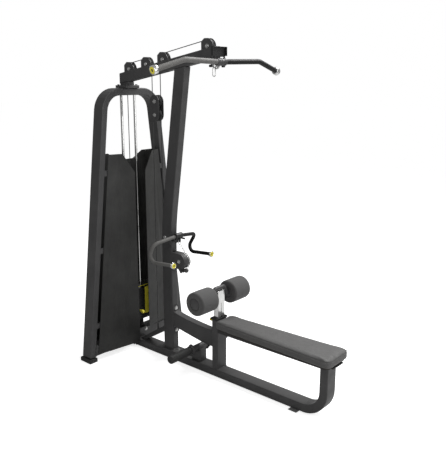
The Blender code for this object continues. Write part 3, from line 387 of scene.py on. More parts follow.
def build_stage():
    """A wide pale floor under a white sky, and soft studio lights."""
    bm = bmesh.new()
    size = 40.0
    corners = ((-size, -size), (size, -size), (size, size), (-size, size))
    bm.faces.new([bm.verts.new((x, y, 0)) for x, y in corners])
    mesh = mesh_of(bm, "studio_floor")
    floor = add_object("studio_floor", mesh)
    floor.location = (0, 0, -0.0005)
    graph = Graph("pale floor")
    graph.colour(graph.ramp(graph.noise(1.5), ((0.3, grey(0.66)), (0.7, grey(0.7)))))
    graph.set(Roughness=0.75, Emission_Color=(1.0, 1.0, 1.0, 1.0))
    seen = graph.add("LightPath").outputs["Is Camera Ray"]
    graph.link(graph.band(seen, 0.0, 1.0, 0.0, FLOOR_GLOW), graph.shader.inputs["Emission Strength"])
    mesh.materials.append(graph.material)

    bpy.context.scene.view_settings.view_transform = "Standard"
    world = bpy.data.worlds.new("studio")
    bpy.context.scene.world = world
    world.use_nodes = True
    nodes, links = world.node_tree.nodes, world.node_tree.links
    rays = nodes.new("ShaderNodeLightPath")
    level = nodes.new("ShaderNodeMapRange")
    level.inputs["To Min"].default_value = SKY_LIGHT
    level.inputs["To Max"].default_value = 1.0
    links.new(rays.outputs["Is Camera Ray"], level.inputs["Value"])
    background = nodes["Background"]
    background.inputs["Color"].default_value = (1.0, 1.0, 1.0, 1.0)
    links.new(level.outputs["Result"], background.inputs["Strength"])
    soft_light("key light", (1.0, -2.0, 2.8), 0.9, 12)
    soft_light("fill light", (4.2, 0.6, 2.3), 2.8, 62)
    soft_light("top light", (0.4, 2.3, 4.6), 2.6, 210)


def soft_light(name, place, size, power):
    light = bpy.data.lights.new(name, "AREA")
    light.shape = "SQUARE"
    light.size = size
    light.energy = power
    obj = add_object(name, light)
    obj.visible_camera = False
    obj.location = place
    aim = Vector((0, 0, 1.0)) - Vector(place)
    obj.rotation_euler = aim.to_track_quat("-Z", "Y").to_euler()


def build_camera():
    camera = bpy.data.cameras.new("camera")
    camera.lens = CAMERA_LENS
    camera.sensor_width = 36.0
    obj = add_object("camera", camera)
    obj.location = CAMERA_PLACE
    tilt = math.radians(90 - CAMERA_ELEVATION)
    obj.rotation_euler = (tilt, 0, math.radians(CAMERA_AZIMUTH))
    bpy.context.scene.camera = obj


# ---------------------------------------------------------------- geometry helpers

# Turns +Z to point along the named axis.
TURN = {
    "x": Matrix.Rotation(math.radians(90), 4, "Y"),
    "-x": Matrix.Rotation(math.radians(-90), 4, "Y"),
    "y": Matrix.Rotation(math.radians(-90), 4, "X"),
    "-y": Matrix.Rotation(math.radians(90), 4, "X"),
    "z": Matrix.Identity(4),
    "-z": Matrix.Rotation(math.radians(180), 4, "X"),
}


def middle(node):
    low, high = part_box(node)
    return (low + high) / 2


def mesh_of(bm, name):
    mesh = bpy.data.meshes.new(name)
    bm.to_mesh(mesh)
    bm.free()
    return mesh


def add_object(name, data):
    obj = bpy.data.objects.new(name, data)
    bpy.context.scene.collection.objects.link(obj)
    return obj


def piece(name, bm, slot, body=None, replaces=(), sharp=38):
    bmesh.ops.recalc_face_normals(bm, faces=bm.faces)
    return mesh_piece(name, mesh_of(bm, name), slot, body, replaces, sharp)


def turned_piece(name, profile, place, slot, body, replaces=(), sharp=30, steps=32):
    bm = bmesh.new()
    turn_into(bm, profile, place, steps)
    return piece(name, bm, slot, body, replaces, sharp)


def swept_piece(name, points, radius, sides, slot, body, replaces=(), sharp=38, closed=False):
    bm = bmesh.new()
    sweep(bm, points, radius, sides, closed)
    piece(name, bm, slot, body, replaces, sharp)


def mesh_piece(name, mesh, slot, body=None, replaces=(), sharp=38):
    """A mesh becomes a named object with its slot's material, riding on its body."""
    mesh.polygons.foreach_set("use_smooth", [True] * len(mesh.polygons))
    mesh.set_sharp_from_angle(angle=math.radians(sharp))
    mesh.materials.clear()
    mesh.materials.append(MATERIALS[slot])
    obj = add_object(name, mesh)
    if replaces:
        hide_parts(*replaces)
    if body:
        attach(obj, body)
    return obj


def turn_into(bm, profile, matrix, steps=48):
    """Spins (radius, height) points about Z, then places the result."""
    rings = []
    for radius, height in profile:
        if radius < 1e-6:
            rings.append([bm.verts.new(matrix @ Vector((0, 0, height)))])
            continue
        ring = []
        for step in range(steps):
            angle = 2 * math.pi * step / steps
            point = Vector((radius * math.cos(angle), radius * math.sin(angle), height))
            ring.append(bm.verts.new(matrix @ point))
        rings.append(ring)
    for lower, upper in zip(rings, rings[1:]):
        join_rings(bm, lower, upper)
    return rings


def join_rings(bm, lower, upper):
    count = max(len(lower), len(upper))
    for step in range(count):
        after = (step + 1) % count
        if len(lower) == 1:
            bm.faces.new((lower[0], upper[step], upper[after]))
        elif len(upper) == 1:
            bm.faces.new((lower[step], upper[0], lower[after]))
        else:
            bm.faces.new((lower[step], upper[step], upper[after], lower[after]))


def turned_at(place, axis):
    return Matrix.Translation(place) @ TURN[axis]


def facing(place, direction):
    """Takes the origin to place and +Z to a direction."""
    return Matrix.Translation(place) @ direction.to_track_quat("Z", "Y").to_matrix().to_4x4()


def flipped(profile):
    """The (radius, height) points below the middle, in reverse."""
    return [(radius, -height) for radius, height in reversed(profile)]


def short_of(length, radius, *rows):
    """(radius, height) points from shares of a radius and distances short of a length."""
    return [(radius * share, length - short) for share, short in rows]


def opposite(points):
    """The (x, y, z) points on the other side of the machine, in reverse."""
    return [(x, -y, z) for x, y, z in reversed(points)]


def extrude_to(bm, corners, axis, value):
    """A flat face on corners, drawn out along axis 0, 1 or 2 as far as value."""
    face = bm.faces.new([bm.verts.new(corner) for corner in corners])
    for item in bmesh.ops.extrude_face_region(bm, geom=[face])["geom"]:
        if isinstance(item, bmesh.types.BMVert):
            item.co[axis] = value


def sweep(bm, points, radii, sides=32, closed=False):
    """A tube along points, with a flat cap at each end unless it is closed."""
    points = [Vector(point) for point in points]
    if isinstance(radii, (int, float)):
        radii = [radii] * len(points)
    count = len(points)
    tangents = []
    for index in range(count):
        before = points[index - 1] if index or closed else points[index]
        after = points[(index + 1) % count] if index < count - 1 or closed else points[index]
        tangents.append((after - before).normalized())
    side = tangents[0].orthogonal().normalized()
    rings = []
    for point, tangent, radius in zip(points, tangents, radii):
        side = (side - tangent * side.dot(tangent)).normalized()
        across = tangent.cross(side)
        ring = []
        for step in range(sides):
            angle = 2 * math.pi * step / sides
            out = side * math.cos(angle) + across * math.sin(angle)
            ring.append(bm.verts.new(point + out * radius))
        rings.append(ring)
    for lower, upper in zip(rings, rings[1:]):
        join_rings(bm, lower, upper)
    if closed:
        first = min(range(sides), key=lambda step: (rings[0][step].co - rings[-1][0].co).length)
        join_rings(bm, rings[-1], rings[0][first:] + rings[0][:first])
    else:
        bm.faces.new(rings[0])
        bm.faces.new(rings[-1])


def rounded_path(corners, radii, degrees=3.0):
    """A polyline through corners, each inner one rounded by an arc of its radius."""
    corners = [Vector(corner) for corner in corners]
    path = [corners[0]]
    for before, corner, after, radius in zip(corners, corners[1:], corners[2:], radii):
        arriving = (corner - before).normalized()
        leaving = (after - corner).normalized()
        turn = arriving.angle(leaving)
        reach = radius * math.tan(turn / 2)
        start = corner - arriving * reach
        inward = (leaving - arriving * leaving.dot(arriving)).normalized()
        steps = max(2, int(math.degrees(turn) / degrees) + 1)
        for step in range(steps + 1):
            angle = turn * step / steps
            ahead = arriving * radius * math.sin(angle)
            path.append(start + ahead + inward * radius * (1 - math.cos(angle)))
    path.append(corners[-1])
    return path


def arc(centre, radius, start, end, steps=24):
    """Points (x, z) on a circle, in degrees."""
    points = []
    for step in range(steps + 1):
        angle = math.radians(start + (end - start) * step / steps)
        points.append((centre[0] + radius * math.cos(angle), centre[1] + radius * math.sin(angle)))
    return points


def rounded_box(bm, low, high, width=0.001, segments=2):
    made = bmesh.ops.create_cube(bm, size=1.0)["verts"]
    low, high = Vector(low), Vector(high)
    size = high - low
    for vert in made:
        vert.co = Vector(c * s for c, s in zip(vert.co, size)) + (low + high) / 2
    edges = list({edge for vert in made for edge in vert.link_edges})
    bmesh.ops.bevel(bm, geom=edges, offset=width, segments=segments, profile=0.5, affect="EDGES")


def cut_mesh(mesh, *cutters):
    """The mesh with the cutters' shapes taken out of it."""
    obj = add_object("cut", mesh)
    tools = []
    for cutter in cutters:
        bmesh.ops.recalc_face_normals(cutter, faces=cutter.faces)
        tool = add_object("cutter", mesh_of(cutter, "cutter"))
        tools.append(tool)
        modifier = obj.modifiers.new("cut", "BOOLEAN")
        modifier.object = tool
        modifier.operation = "DIFFERENCE"
    made = bpy.data.meshes.new_from_object(obj.evaluated_get(bpy.context.evaluated_depsgraph_get()))
    for tool in [obj] + tools:
        bpy.data.objects.remove(tool)
    return made


def cylinder(place, axis, radius, length, steps=32):
    half = length / 2
    profile = [(0, -half), (radius, -half), (radius, half), (0, half)]
    bm = bmesh.new()
    turn_into(bm, profile, turned_at(place, axis), steps)
    return bm


# ---------------------------------------------------------------- bars and handles


def end_cap(name, node, end, outward, body):
    """A turned chrome ring round a domed plastic disc, with a dark recess at its middle."""
    radius, length = (0.0276, 0.0362) if node.startswith("lat") else (0.0226, 0.0212)
    place = facing(Vector(end), Vector(outward).normalized())
    groove = length * 0.55
    ring = [(0, 0.0002), (radius * 0.72, 0.0002), (radius * 0.8, 0.001)]
    ring += [(radius * 0.84, 0.003), (radius * 0.97, 0.0052), (radius, 0.0075)]
    ring += short_of(groove, radius, (1, 0.0016), (0.965, 0.0006), (0.965, -0.0006), (1, -0.0016))
    ring += short_of(length, radius, (1, 0.0042), (0.985, 0.0024), (0.93, 0.0008), (0.86, 0.0004))
    ring += short_of(length, radius, (0.8, 0.0012), (0.79, 0.004), (0, 0.004))
    turned_piece(f"{name}_ring", ring, place, "chrome", body, (node,), steps=64)
    disc = short_of(length, radius, (0.775, 0.0039), (0.775, 0.0018), (0.74, 0.0009), (0.45, -0.0001))
    disc += short_of(length, radius, (0.36, 0.0003), (0.33, 0.0012), (0.31, 0.0034), (0, 0.0034))
    turned_piece(f"{name}_disc", disc, place, "yellow_plastic", body, steps=64)
    plug = short_of(length, radius, (0.3, 0.0033), (0.29, 0.0022), (0.2, 0.0018), (0, 0.0018))
    turned_piece(f"{name}_plug", plug, place, "rubber", body)


def build_lat_bar():
    half = [(0.042, 0.37, 2.237), (0.019, 0.583, 2.1795)]
    path = rounded_path(opposite(half) + [LAT_HUB] + half, (0.12, 0.6, 0.12), 0.6)
    swept_piece("lat_bar_tube", path, LAT_BAR_RADIUS, 48, "grip_rubber", "lat_bar", ("lat_bar",))
    half_hub = [(0.0236, 0), (0.024, 0.006), (0.0222, 0.007), (0.0222, 0.0205), (0.024, 0.0215)]
    half_hub += [(0.0246, 0.023), (0.0246, 0.027), (0.0234, 0.0285), (0.0226, 0.031), (0.0245, 0.0325)]
    half_hub += [(0.0247, 0.0345), (0.0247, 0.0405), (0.0236, 0.0425), (0.0178, 0.043)]
    hub = flipped(half_hub[1:]) + half_hub
    turned_piece("lat_bar_hub", hub, turned_at(LAT_HUB, "y"), "frame_paint", "lat_bar", steps=64)
    lug_x, lug_z = LAT_HUB.x - 0.03, LAT_HUB.z - 0.032
    outline = arc((lug_x, lug_z), 0.0132, 135, 315, 20)
    outline += [(LAT_HUB.x + 0.004, LAT_HUB.z - 0.016), (LAT_HUB.x - 0.016, LAT_HUB.z + 0.004)]
    mesh = slab(outline, -0.0052, 0.0052, 0.001)
    mesh = cut_mesh(mesh, cylinder((lug_x, 0, lug_z), "y", 0.0075, 0.04))
    mesh_piece("lat_bar_lug", mesh, "bright_steel", "lat_bar", (), 30)
    end_cap("lat_cap_near", "lat_bar_cap_near", path[0], path[0] - path[1], "lat_bar")
    end_cap("lat_cap_far", "lat_bar_cap_far", path[-1], path[-1] - path[-2], "lat_bar")


def slab(outline, low, high, edge):
    """An outline (x, z) made as thick as low to high along Y, with its edges eased."""
    bm = bmesh.new()
    extrude_to(bm, [(x, low, z) for x, z in outline], 1, high)
    bmesh.ops.recalc_face_normals(bm, faces=bm.faces)
    rims = [e for e in bm.edges if len(e.link_faces) == 2 and e.calc_face_angle() > 0.9]
    bmesh.ops.bevel(bm, geom=rims, offset=edge, segments=2, profile=0.5, affect="EDGES")
    return mesh_of(bm, "slab")


def build_row_handle():
    half = [(-0.443, 0.22, 0.961), (-0.524, 0.2, 0.812), (-0.275, 0.201, 0.832)]
    corners = opposite(half) + [ROW_HUB] + half
    path = rounded_path(corners, (0.045, 0.045, 0.3, 0.045, 0.045), 4)
    node = "row_handle"
    swept_piece("row_handle_tube", path, ROW_HANDLE_RADIUS, 40, "grip_rubber", node, (node,))
    half_hub = [(0.0205, 0), (0.0205, 0.013), (0.0192, 0.0145), (0.0192, 0.0185), (0.0208, 0.02)]
    half_hub += [(0.0208, 0.03), (0.0192, 0.033), (0.015, 0.0342), (0.0137, 0.0342)]
    hub = flipped(half_hub[1:]) + half_hub
    place = turned_at(ROW_HUB, "y")
    turned_piece("row_handle_hub", hub, place, "black_steel", "row_handle", steps=64)
    eye_x, eye_z = ROW_HUB.x + 0.006, ROW_HUB.z - 0.036
    outline = arc((eye_x, eye_z), 0.0142, 180, 360, 20)
    outline += [(ROW_HUB.x + 0.02, ROW_HUB.z - 0.01), (ROW_HUB.x - 0.008, ROW_HUB.z - 0.01)]
    mesh = slab(outline, -0.0041, 0.0041, 0.0008)
    mesh = cut_mesh(mesh, cylinder((eye_x, 0, eye_z), "y", 0.0085, 0.04))
    mesh_piece("row_handle_tab", mesh, "black_steel", "row_handle", (), 30)
    end_cap("row_cap_near", "row_handle_cap_near", path[0], path[0] - path[1], "row_handle")
    end_cap("row_cap_far", "row_handle_cap_far", path[-1], path[-1] - path[-2], "row_handle")


# ---------------------------------------------------------------- pulleys


def build_pulley(node, pitch, rim, boss):
    """A grooved wheel with a recessed web, six ribs and a pressed bearing."""
    centre = middle(node)
    root = pitch - CABLE_RADIUS - 0.0002
    half = [(0.0105, boss - 0.0008), (0.0115, boss), (0.015, boss), (0.016, boss - 0.001)]
    half += [(0.0165, 0.0062), (0.018, 0.0052), (rim - 0.015, 0.0052), (rim - 0.0125, 0.0062)]
    half += [(rim - 0.0115, 0.0092), (rim - 0.01, 0.01), (rim - 0.0012, 0.01), (rim, 0.009)]
    half += [(rim - 0.0003, 0.0074), (root + 0.0022, 0.0042), (root + 0.0006, 0.0028), (root, 0.001)]
    bm = bmesh.new()
    place = turned_at(centre, "y")
    turn_into(bm, half + flipped(half), place, 72)
    for index in range(6):
        rib = bmesh.new()
        rounded_box(rib, (0.015, -0.0022, -0.0088), (rim - 0.011, 0.0022, 0.0088), 0.0006, 1)
        rib.transform(place @ Matrix.Rotation(math.radians(60 * index), 4, "Z"))
        merge(bm, rib)
    piece(f"{node}_wheel", bm, "pulley_nylon", node, (node,), 32)
    bm = bmesh.new()
    ring = [(0.0064, boss - 0.0006), (0.0078, boss - 0.0002), (0.0082, boss - 0.001)]
    ring += [(0.0092, boss - 0.001), (0.0096, boss - 0.0002), (0.0106, boss - 0.0006)]
    rings = turn_into(bm, ring + flipped(ring), place, 48)
    join_rings(bm, rings[-1], rings[0])
    piece(f"{node}_bearing", bm, "bright_steel", node, (), 32)


def merge(bm, other):
    mesh = mesh_of(other, "merge")
    bm.from_mesh(mesh)
    bpy.data.meshes.remove(mesh)


def build_pulleys():
    for number in range(1, 5):
        build_pulley(f"boom_pulley_{number}", PITCH, PULLEY_RIM, 0.0143)
    build_pulley("transfer_pulley", PITCH, PULLEY_RIM, 0.0143)
    build_pulley("block_pulley_upper", PITCH, PULLEY_RIM, 0.0193)
    build_pulley("block_pulley_lower", PITCH, PULLEY_RIM, 0.0193)
    build_pulley("row_pulley", ROW_PITCH, ROW_RIM, 0.0238)


# ---------------------------------------------------------------- cables


def strand(name, points, body, replaces=()):
    """A run of cable through (x, z) points that keeps its shape."""
    points = [(x, 0, z) for x, z in points]
    swept_piece(name, points, CABLE_RADIUS, 16, "cable_sheath", body, replaces)


def span(name, start, end, pull=None):
    """A straight run between two bodies, of two rings only, so that it stays straight.

    Its ends are mitred halfway to the direction it takes after a pull.
    """
    start, end = Vector((start[0], 0, start[1])), Vector((end[0], 0, end[1]))
    along = (end - start).normalized()
    bm = bmesh.new()
    sweep(bm, [start, end], CABLE_RADIUS, 16)
    if pull:
        pulled = (end + Vector(pull) - start).normalized()
        mitre = (along + pulled).normalized()
        for vert in bm.verts:
            hub = start if (vert.co - start).length < (vert.co - end).length else end
            offset = vert.co - hub
            vert.co = hub + offset - along * (offset.dot(mitre) / along.dot(mitre))
    obj = piece(name, bm, "cable_sheath")
    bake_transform(obj)


def top_angle(front, rear):
    """Where a cable that lies over two equal pulleys touches them, in degrees."""
    return math.degrees(math.atan2(front[1] - rear[1], front[0] - rear[0])) + 90


def axle(node):
    centre = middle(node)
    return centre.x, centre.z


def build_lat_cable():
    p1, p2, p3, p4 = [axle(f"boom_pulley_{number}") for number in range(1, 5)]
    upper = axle("block_pulley_upper")
    front, rear = top_angle(p4, p3), top_angle(p2, p1)
    end_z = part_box("lat_cable")[0].z
    over = arc(p4, PITCH, 0, front, 24) + arc(p3, PITCH, front, 180, 24)
    strand("lat_cable_over_front", over, "frame", ("lat_cable",))
    over = arc(p2, PITCH, 0, rear, 24) + arc(p1, PITCH, rear, 180, 24)
    strand("lat_cable_over_rear", over, "frame")
    strand("lat_cable_round_block", arc(upper, PITCH, 0, -180, 40), "block")
    span("lat_cable_drop", (p4[0] + PITCH, p4[1]), (p4[0] + PITCH, 2.246))
    span("lat_cable_front_leg", (p3[0] - PITCH, p3[1]), (upper[0] + PITCH, upper[1]))
    span("lat_cable_rear_leg", (p2[0] + PITCH, p2[1]), (upper[0] - PITCH, upper[1]))
    span("lat_cable_to_stack", (p1[0] - PITCH, p1[1]), (p1[0] - PITCH, end_z))


def build_row_cable():
    lower, transfer, row = axle("block_pulley_lower"), axle("transfer_pulley"), axle("row_pulley")
    anchor_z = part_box("row_cable")[0].z
    dx, dz = row[0] - transfer[0], row[1] - transfer[1]
    lean = math.asin((ROW_PITCH - PITCH) / math.hypot(dx, dz))
    leave = math.degrees(math.atan2(dz, dx) - lean) - 90
    ball = ROW_BALL.xz
    arm = ball - Vector(row)
    leave_row = math.degrees(math.atan2(arm.y, arm.x) - math.acos(ROW_PITCH / arm.length))
    run = arc(transfer, PITCH, -180, leave, 24) + arc(row, ROW_PITCH, leave, leave_row, 24)
    last = Vector(run[-1])
    stop = ball - (ball - last).normalized() * 0.017
    strand("row_cable_over", run, "frame", ("row_cable",))
    strand("row_cable_round_block", arc(lower, PITCH, 180, 0, 40), "block")
    span("row_cable_to_clip", last, stop, pull=(0.6, 0, 0))
    rear_x, front_x = lower[0] - PITCH, lower[0] + PITCH
    span("row_cable_anchor_leg", (rear_x, anchor_z), (rear_x, lower[1]))
    span("row_cable_front_leg", (front_x, transfer[1]), (front_x, lower[1]))


# ---------------------------------------------------------------- clips and chain


def link_points(half_length, half_width, steps=10):
    straight = half_length - half_width
    points = []
    for end in (1, -1):
        for step in range(steps + 1):
            angle = math.pi * step / steps - math.pi / 2
            reach = end * (straight + half_width * math.cos(angle))
            points.append(Vector((reach, end * half_width * math.sin(angle), 0)))
    return points


def add_link(bm, centre, along, half_length, half_width, wire, quarter):
    turn = Matrix.Rotation(math.pi / 2 if quarter else 0, 4, "X")
    lie = Vector(along).normalized().to_track_quat("X", "Y").to_matrix().to_4x4()
    matrix = Matrix.Translation(centre) @ lie @ turn
    sweep(bm, [matrix @ point for point in link_points(half_length, half_width)], wire, 12, closed=True)


def ball_profile(radius, steps=32):
    angles = [math.pi * step / steps for step in range(steps + 1)]
    return [(radius * math.sin(angle), radius * math.cos(angle)) for angle in angles]


def build_lat_clip():
    place = turned_at((middle("boom_pulley_4").x + PITCH, 0, LAT_BALL_Z), "z")
    ball = ball_profile(0.0148)
    turned_piece("lat_clip_ball", ball, place, "rubber", "lat_clip", ("lat_clip",), 38, 40)
    bm = bmesh.new()
    stem = [(0, -0.0405), (0.003, -0.04), (0.0044, -0.038), (0.0044, -0.03)]
    stem += [(0.0036, -0.029), (0.0036, -0.027), (0.0048, -0.026), (0.0048, -0.013)]
    stem += [(0.006, -0.012), (0.006, -0.01), (0, -0.01)]
    turn_into(bm, stem, place, 32)
    add_link(bm, Vector((-0.0364, 0, 2.197)), (1, 0, 0), 0.0176, 0.011, 0.0031, True)
    add_link(bm, Vector((-0.05, 0, 2.166)), (0, 0, 1), 0.029, 0.013, 0.0029, True)
    half_gate = [(0.0036, 0.007), (0.003, 0.008), (0, 0.0085)]
    turn_into(bm, flipped(half_gate) + half_gate, turned_at((-0.0364, 0, 2.186), "x"), 24)
    piece("lat_clip_hook", bm, "bright_steel", "lat_clip", (), 30)


def build_row_clip():
    ball = ball_profile(0.0177)
    place = turned_at(ROW_BALL, "z")
    turned_piece("row_clip_ball", ball, place, "roller_foam", "row_clip", ("row_clip",), 38, 40)
    eye = Vector((-0.4, 0, 0.956))
    hook_centre = eye + Vector((0.004, 0, -0.013))
    hook_end = eye + Vector((0.006, 0, -0.029))
    path = rounded_path((ROW_BALL, (-0.283, 0, 0.822), hook_end), (0.04,), 4)
    half_length, half_width, wire = 0.0098, 0.0058, 0.0017
    pitch = 2 * (half_length - wire)
    bm = bmesh.new()
    lengths = [0.0]
    for before, after in zip(path, path[1:]):
        lengths.append(lengths[-1] + (after - before).length)
    start, finish = 0.0215, lengths[-1] - 0.003
    count = max(1, round((finish - start) / pitch))
    for index in range(count):
        at = start + (finish - start) * (index + 0.5) / count
        place, along = along_path(path, lengths, at)
        add_link(bm, place, along, half_length, half_width, wire, index % 2)
    add_link(bm, hook_centre, hook_end - hook_centre, 0.0165, 0.0105, 0.0021, True)
    ferrule = [(0, 0.012), (0.0062, 0.012), (0.0062, 0.018)]
    ferrule += [(0.005, 0.0195), (0.003, 0.021), (0, 0.0215)]
    turn_into(bm, ferrule, facing(ROW_BALL, (path[1] - path[0]).normalized()), 32)
    piece("row_clip_chain", bm, "bright_steel", "row_clip", (), 40)


def along_path(path, lengths, at):
    """The place and the direction at a length along a path."""
    for index in range(len(path) - 1):
        if lengths[index + 1] >= at or index == len(path) - 2:
            share = (at - lengths[index]) / max(lengths[index + 1] - lengths[index], 1e-9)
            return path[index].lerp(path[index + 1], share), path[index + 1] - path[index]


# ---------------------------------------------------------------- weight stack


def plate_mesh():
    """One plate: eased edges, guide holes, the selector bore and the hole for the pin."""
    low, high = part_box("weight_plates_resting")
    bm = bmesh.new()
    rounded_box(bm, low, (high.x, high.y, low.z + 0.018), 0.0016, 3)
    level = low.z + 0.009
    rod = middle("guide_rod_far")
    cutters = [cylinder((rod.x, side * rod.y, level), "z", 0.0108, 0.05) for side in (-1, 1)]
    cutters.append(cylinder((rod.x, 0, level), "z", 0.0125, 0.05))
    cutters.append(cylinder((high.x - 0.01, 0, level), "x", 0.0056, 0.06, 24))
    groove = bmesh.new()
    groove_low = (high.x - 0.0012, -0.034, level - 0.0072)
    rounded_box(groove, groove_low, (high.x + 0.004, 0.034, level + 0.0072), 0.0005, 1)
    made = cut_mesh(mesh_of(bm, "plate"), *cutters, groove)
    made.name = "weight_plate"
    return made


def add_label(bm, front, low, high):
    """A thin strip on a front face, between two (y, z) corners."""
    rounded_box(bm, (front - 0.0004, *low), (front + 0.0008, *high), 0.0004, 1)


def build_stack():
    mesh = plate_mesh()
    nodes = {"frame": "weight_plates_resting", "stack": "weight_plates_lifted"}
    low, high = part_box("weight_plates_resting")
    labels = {"frame": bmesh.new(), "stack": bmesh.new()}
    for index in range(PLATE_COUNT):
        body = "frame" if index < PLATES_RESTING else "stack"
        obj = mesh_piece(f"weight_plate_{index + 1}", mesh, "stack_iron")
        obj.location = (0, 0, PLATE_PITCH * index)
        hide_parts(nodes[body])
        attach(obj, body)
        if index > 1:
            level = low.z + PLATE_PITCH * index
            add_label(labels[body], high.x, (0.069, level + 0.0002), (0.112, level + 0.0187))
    add_label(labels["stack"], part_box("top_plate")[1].x, (-0.06, 0.486), (0.112, 0.4905))
    for body, bm in labels.items():
        piece(f"plate_labels_{body}", bm, "yellow_plastic", body)


def build_pin(node, tip, axis, part, steel, knob):
    """A steel part with a yellow knob, turned about an axis from its tip."""
    place = turned_at(tip, axis)
    turned_piece(f"{node}_{part}", steel, place, "bright_steel", node)
    turned_piece(f"{node}_knob", knob, place, "yellow_plastic", node, (node,), 40, 40)


def build_selector_pin():
    low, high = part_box("selector_pin")
    length = high.x - low.x
    shaft = [(0, 0), (0.003, 0.0008), (0.0046, 0.004)]
    shaft += short_of(length, 1, (0.0046, 0.046), (0.008, 0.0458), (0.008, 0.044), (0, 0.044))
    knob = short_of(length, 1, (0, 0.0445), (0.007, 0.0445), (0.0094, 0.042), (0.01, 0.038))
    knob += short_of(length, 1, (0.0104, 0.03), (0.0122, 0.022), (0.0134, 0.014))
    knob += short_of(length, 1, (0.0134, 0.008), (0.0124, 0.003), (0.01, 0.0006), (0, 0))
    build_pin("selector_pin", (low.x, 0, (low.z + high.z) / 2), "x", "shaft", shaft, knob)


def build_pop_pin():
    low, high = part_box("pop_pin")
    length = high.x - low.x
    shank = [(0, 0), (0.0042, 0.0006), (0.0049, 0.003), (0.0049, 0.0086), (0.0092, 0.0089)]
    shank += [(0.0094, 0.01), (0.0094, 0.023), (0.0086, 0.0245), (0.0062, 0.025)]
    shank += short_of(length, 1, (0.0062, 0.024), (0, 0.024))
    knob = short_of(length, 1, (0, 0.0248), (0.0078, 0.0248), (0.0098, 0.0225), (0.0114, 0.019))
    knob += short_of(length, 1, (0.0116, 0.008), (0.011, 0.0035), (0.0086, 0.0006), (0, 0))
    build_pin("pop_pin", (high.x, 0, (low.z + high.z) / 2), "-x", "shank", shank, knob)


# ---------------------------------------------------------------- soft pieces


def rough_skin(mesh, scale, depth, seed):
    """Moves each point along its normal by a little smooth noise."""
    offsets = []
    shift = Vector((seed, 2.1 * seed, 0.7 * seed))
    for vert in mesh.vertices:
        offsets.append(noise.noise(vert.co * scale + shift) * depth)
    normals = [vert.normal.copy() for vert in mesh.vertices]
    for vert, normal, offset in zip(mesh.vertices, normals, offsets):
        vert.co += normal * offset


def build_roller(node, seed):
    """A foam roller with soft shoulders, a slight crown, and a painted disc in each end."""
    low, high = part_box(node)
    centre = (low + high) / 2
    half = (high.y - low.y) / 2
    radius = (high.z - low.z) / 2 + 0.0008
    round_off, disc = 0.015, 0.043
    outer = short_of(half, 1, (0.0172, 0.0135), (disc - 0.0015, 0.0135), (disc, 0.012))
    outer += short_of(half, 1, (disc, 0.006), (disc + 0.002, 0.0018), (disc + 0.006, 0.0002))
    outer += arc((radius - round_off, half - round_off), round_off, 90, 0, 12)
    body_rows = []
    for step in range(1, 15):
        height = (half - round_off) * (1 - 2 * step / 15)
        crown = 0.0012 * (1 - (height / half) ** 2)
        body_rows.append((radius + crown - 0.0004, height))
    bm = bmesh.new()
    rings = turn_into(bm, outer + body_rows + flipped(outer), turned_at(centre, "y"), 96)
    join_rings(bm, rings[-1], rings[0])
    obj = piece(f"{node}_foam", bm, "roller_foam", None, (node,), 60)
    rough_skin(obj.data, 28.0, 0.0006, seed)
    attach(obj, node)
    bm = bmesh.new()
    outward, inward = ("y", "-y") if centre.y > 0 else ("-y", "y")
    closed = short_of(half, 1, (0, 0.0028))
    bored = short_of(half, 1, (0.0168, 0.0134), (0.0168, 0.004), (0.0178, 0.0028))
    rim = short_of(half, 1, (disc - 0.004, 0.0028), (disc - 0.0022, 0.004), (disc - 0.002, 0.0134))
    turn_into(bm, closed + rim, turned_at(centre, outward), 64)
    turn_into(bm, bored + rim, turned_at(centre, inward), 64)
    piece(f"{node}_end_discs", bm, "frame_paint", node, (), 35)


def build_yoke():
    """The bent tube that carries the rollers, with closed ends inside them."""
    low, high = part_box("thigh_yoke")
    x, reach = (low.x + high.x) / 2, high.y - 0.008
    radius = (high.x - low.x) / 2
    axis_z, top_z = low.z + radius, high.z - radius
    corners = [(x, -reach, axis_z), (x, -0.076, axis_z), (x, -0.046, top_z)]
    corners += opposite(corners)
    path = rounded_path(corners, (0.018, 0.022, 0.022, 0.018), 3.0)
    slot, body = "frame_paint", "thigh_support"
    swept_piece("thigh_yoke_tube", path, radius, 48, slot, body, ("thigh_yoke",), 40)


def build_foot_sleeve(node):
    """A rubber sleeve with shallow ribs and a rounded, closed outer end."""
    low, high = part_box(node)
    centre = (low + high) / 2
    half = (high.y - low.y) / 2
    radius = (high.z - low.z) / 2
    profile = [(0.0254, -half), (radius - 0.004, -half), (radius - 0.0012, -half + 0.0012)]
    profile += [(radius, -half + 0.004)]
    ribs = 26
    pitch = (2 * half - 0.028) / ribs
    for rib in range(ribs):
        start = -half + 0.01 + pitch * rib
        profile += [(radius, start), (radius - 0.001, start + pitch * 0.22)]
        profile += [(radius - 0.001, start + pitch * 0.4), (radius, start + pitch * 0.62)]
    profile += arc((radius - 0.009, half - 0.009), 0.009, 0, 90, 6)
    profile += [(0.012, half), (0.0105, half - 0.003), (0, half - 0.003)]
    place = turned_at(centre, "y" if centre.y > 0 else "-y")
    turned_piece(f"{node}_rubber", profile, place, "rubber", node, (node,), 50, 64)


def build_board(outline):
    """The board under the cushion, drawn in a little from the cushion's outline."""
    low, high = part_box("seat_board")
    centre_x = (low.x + high.x) / 2
    corners = [(centre_x + 0.97 * (x - centre_x), 0.89 * y, low.z) for x, y in outline]
    bm = bmesh.new()
    extrude_to(bm, corners, 2, high.z)
    piece("seat_board_tapered", bm, "plywood", "frame", ("seat_board",), 30)


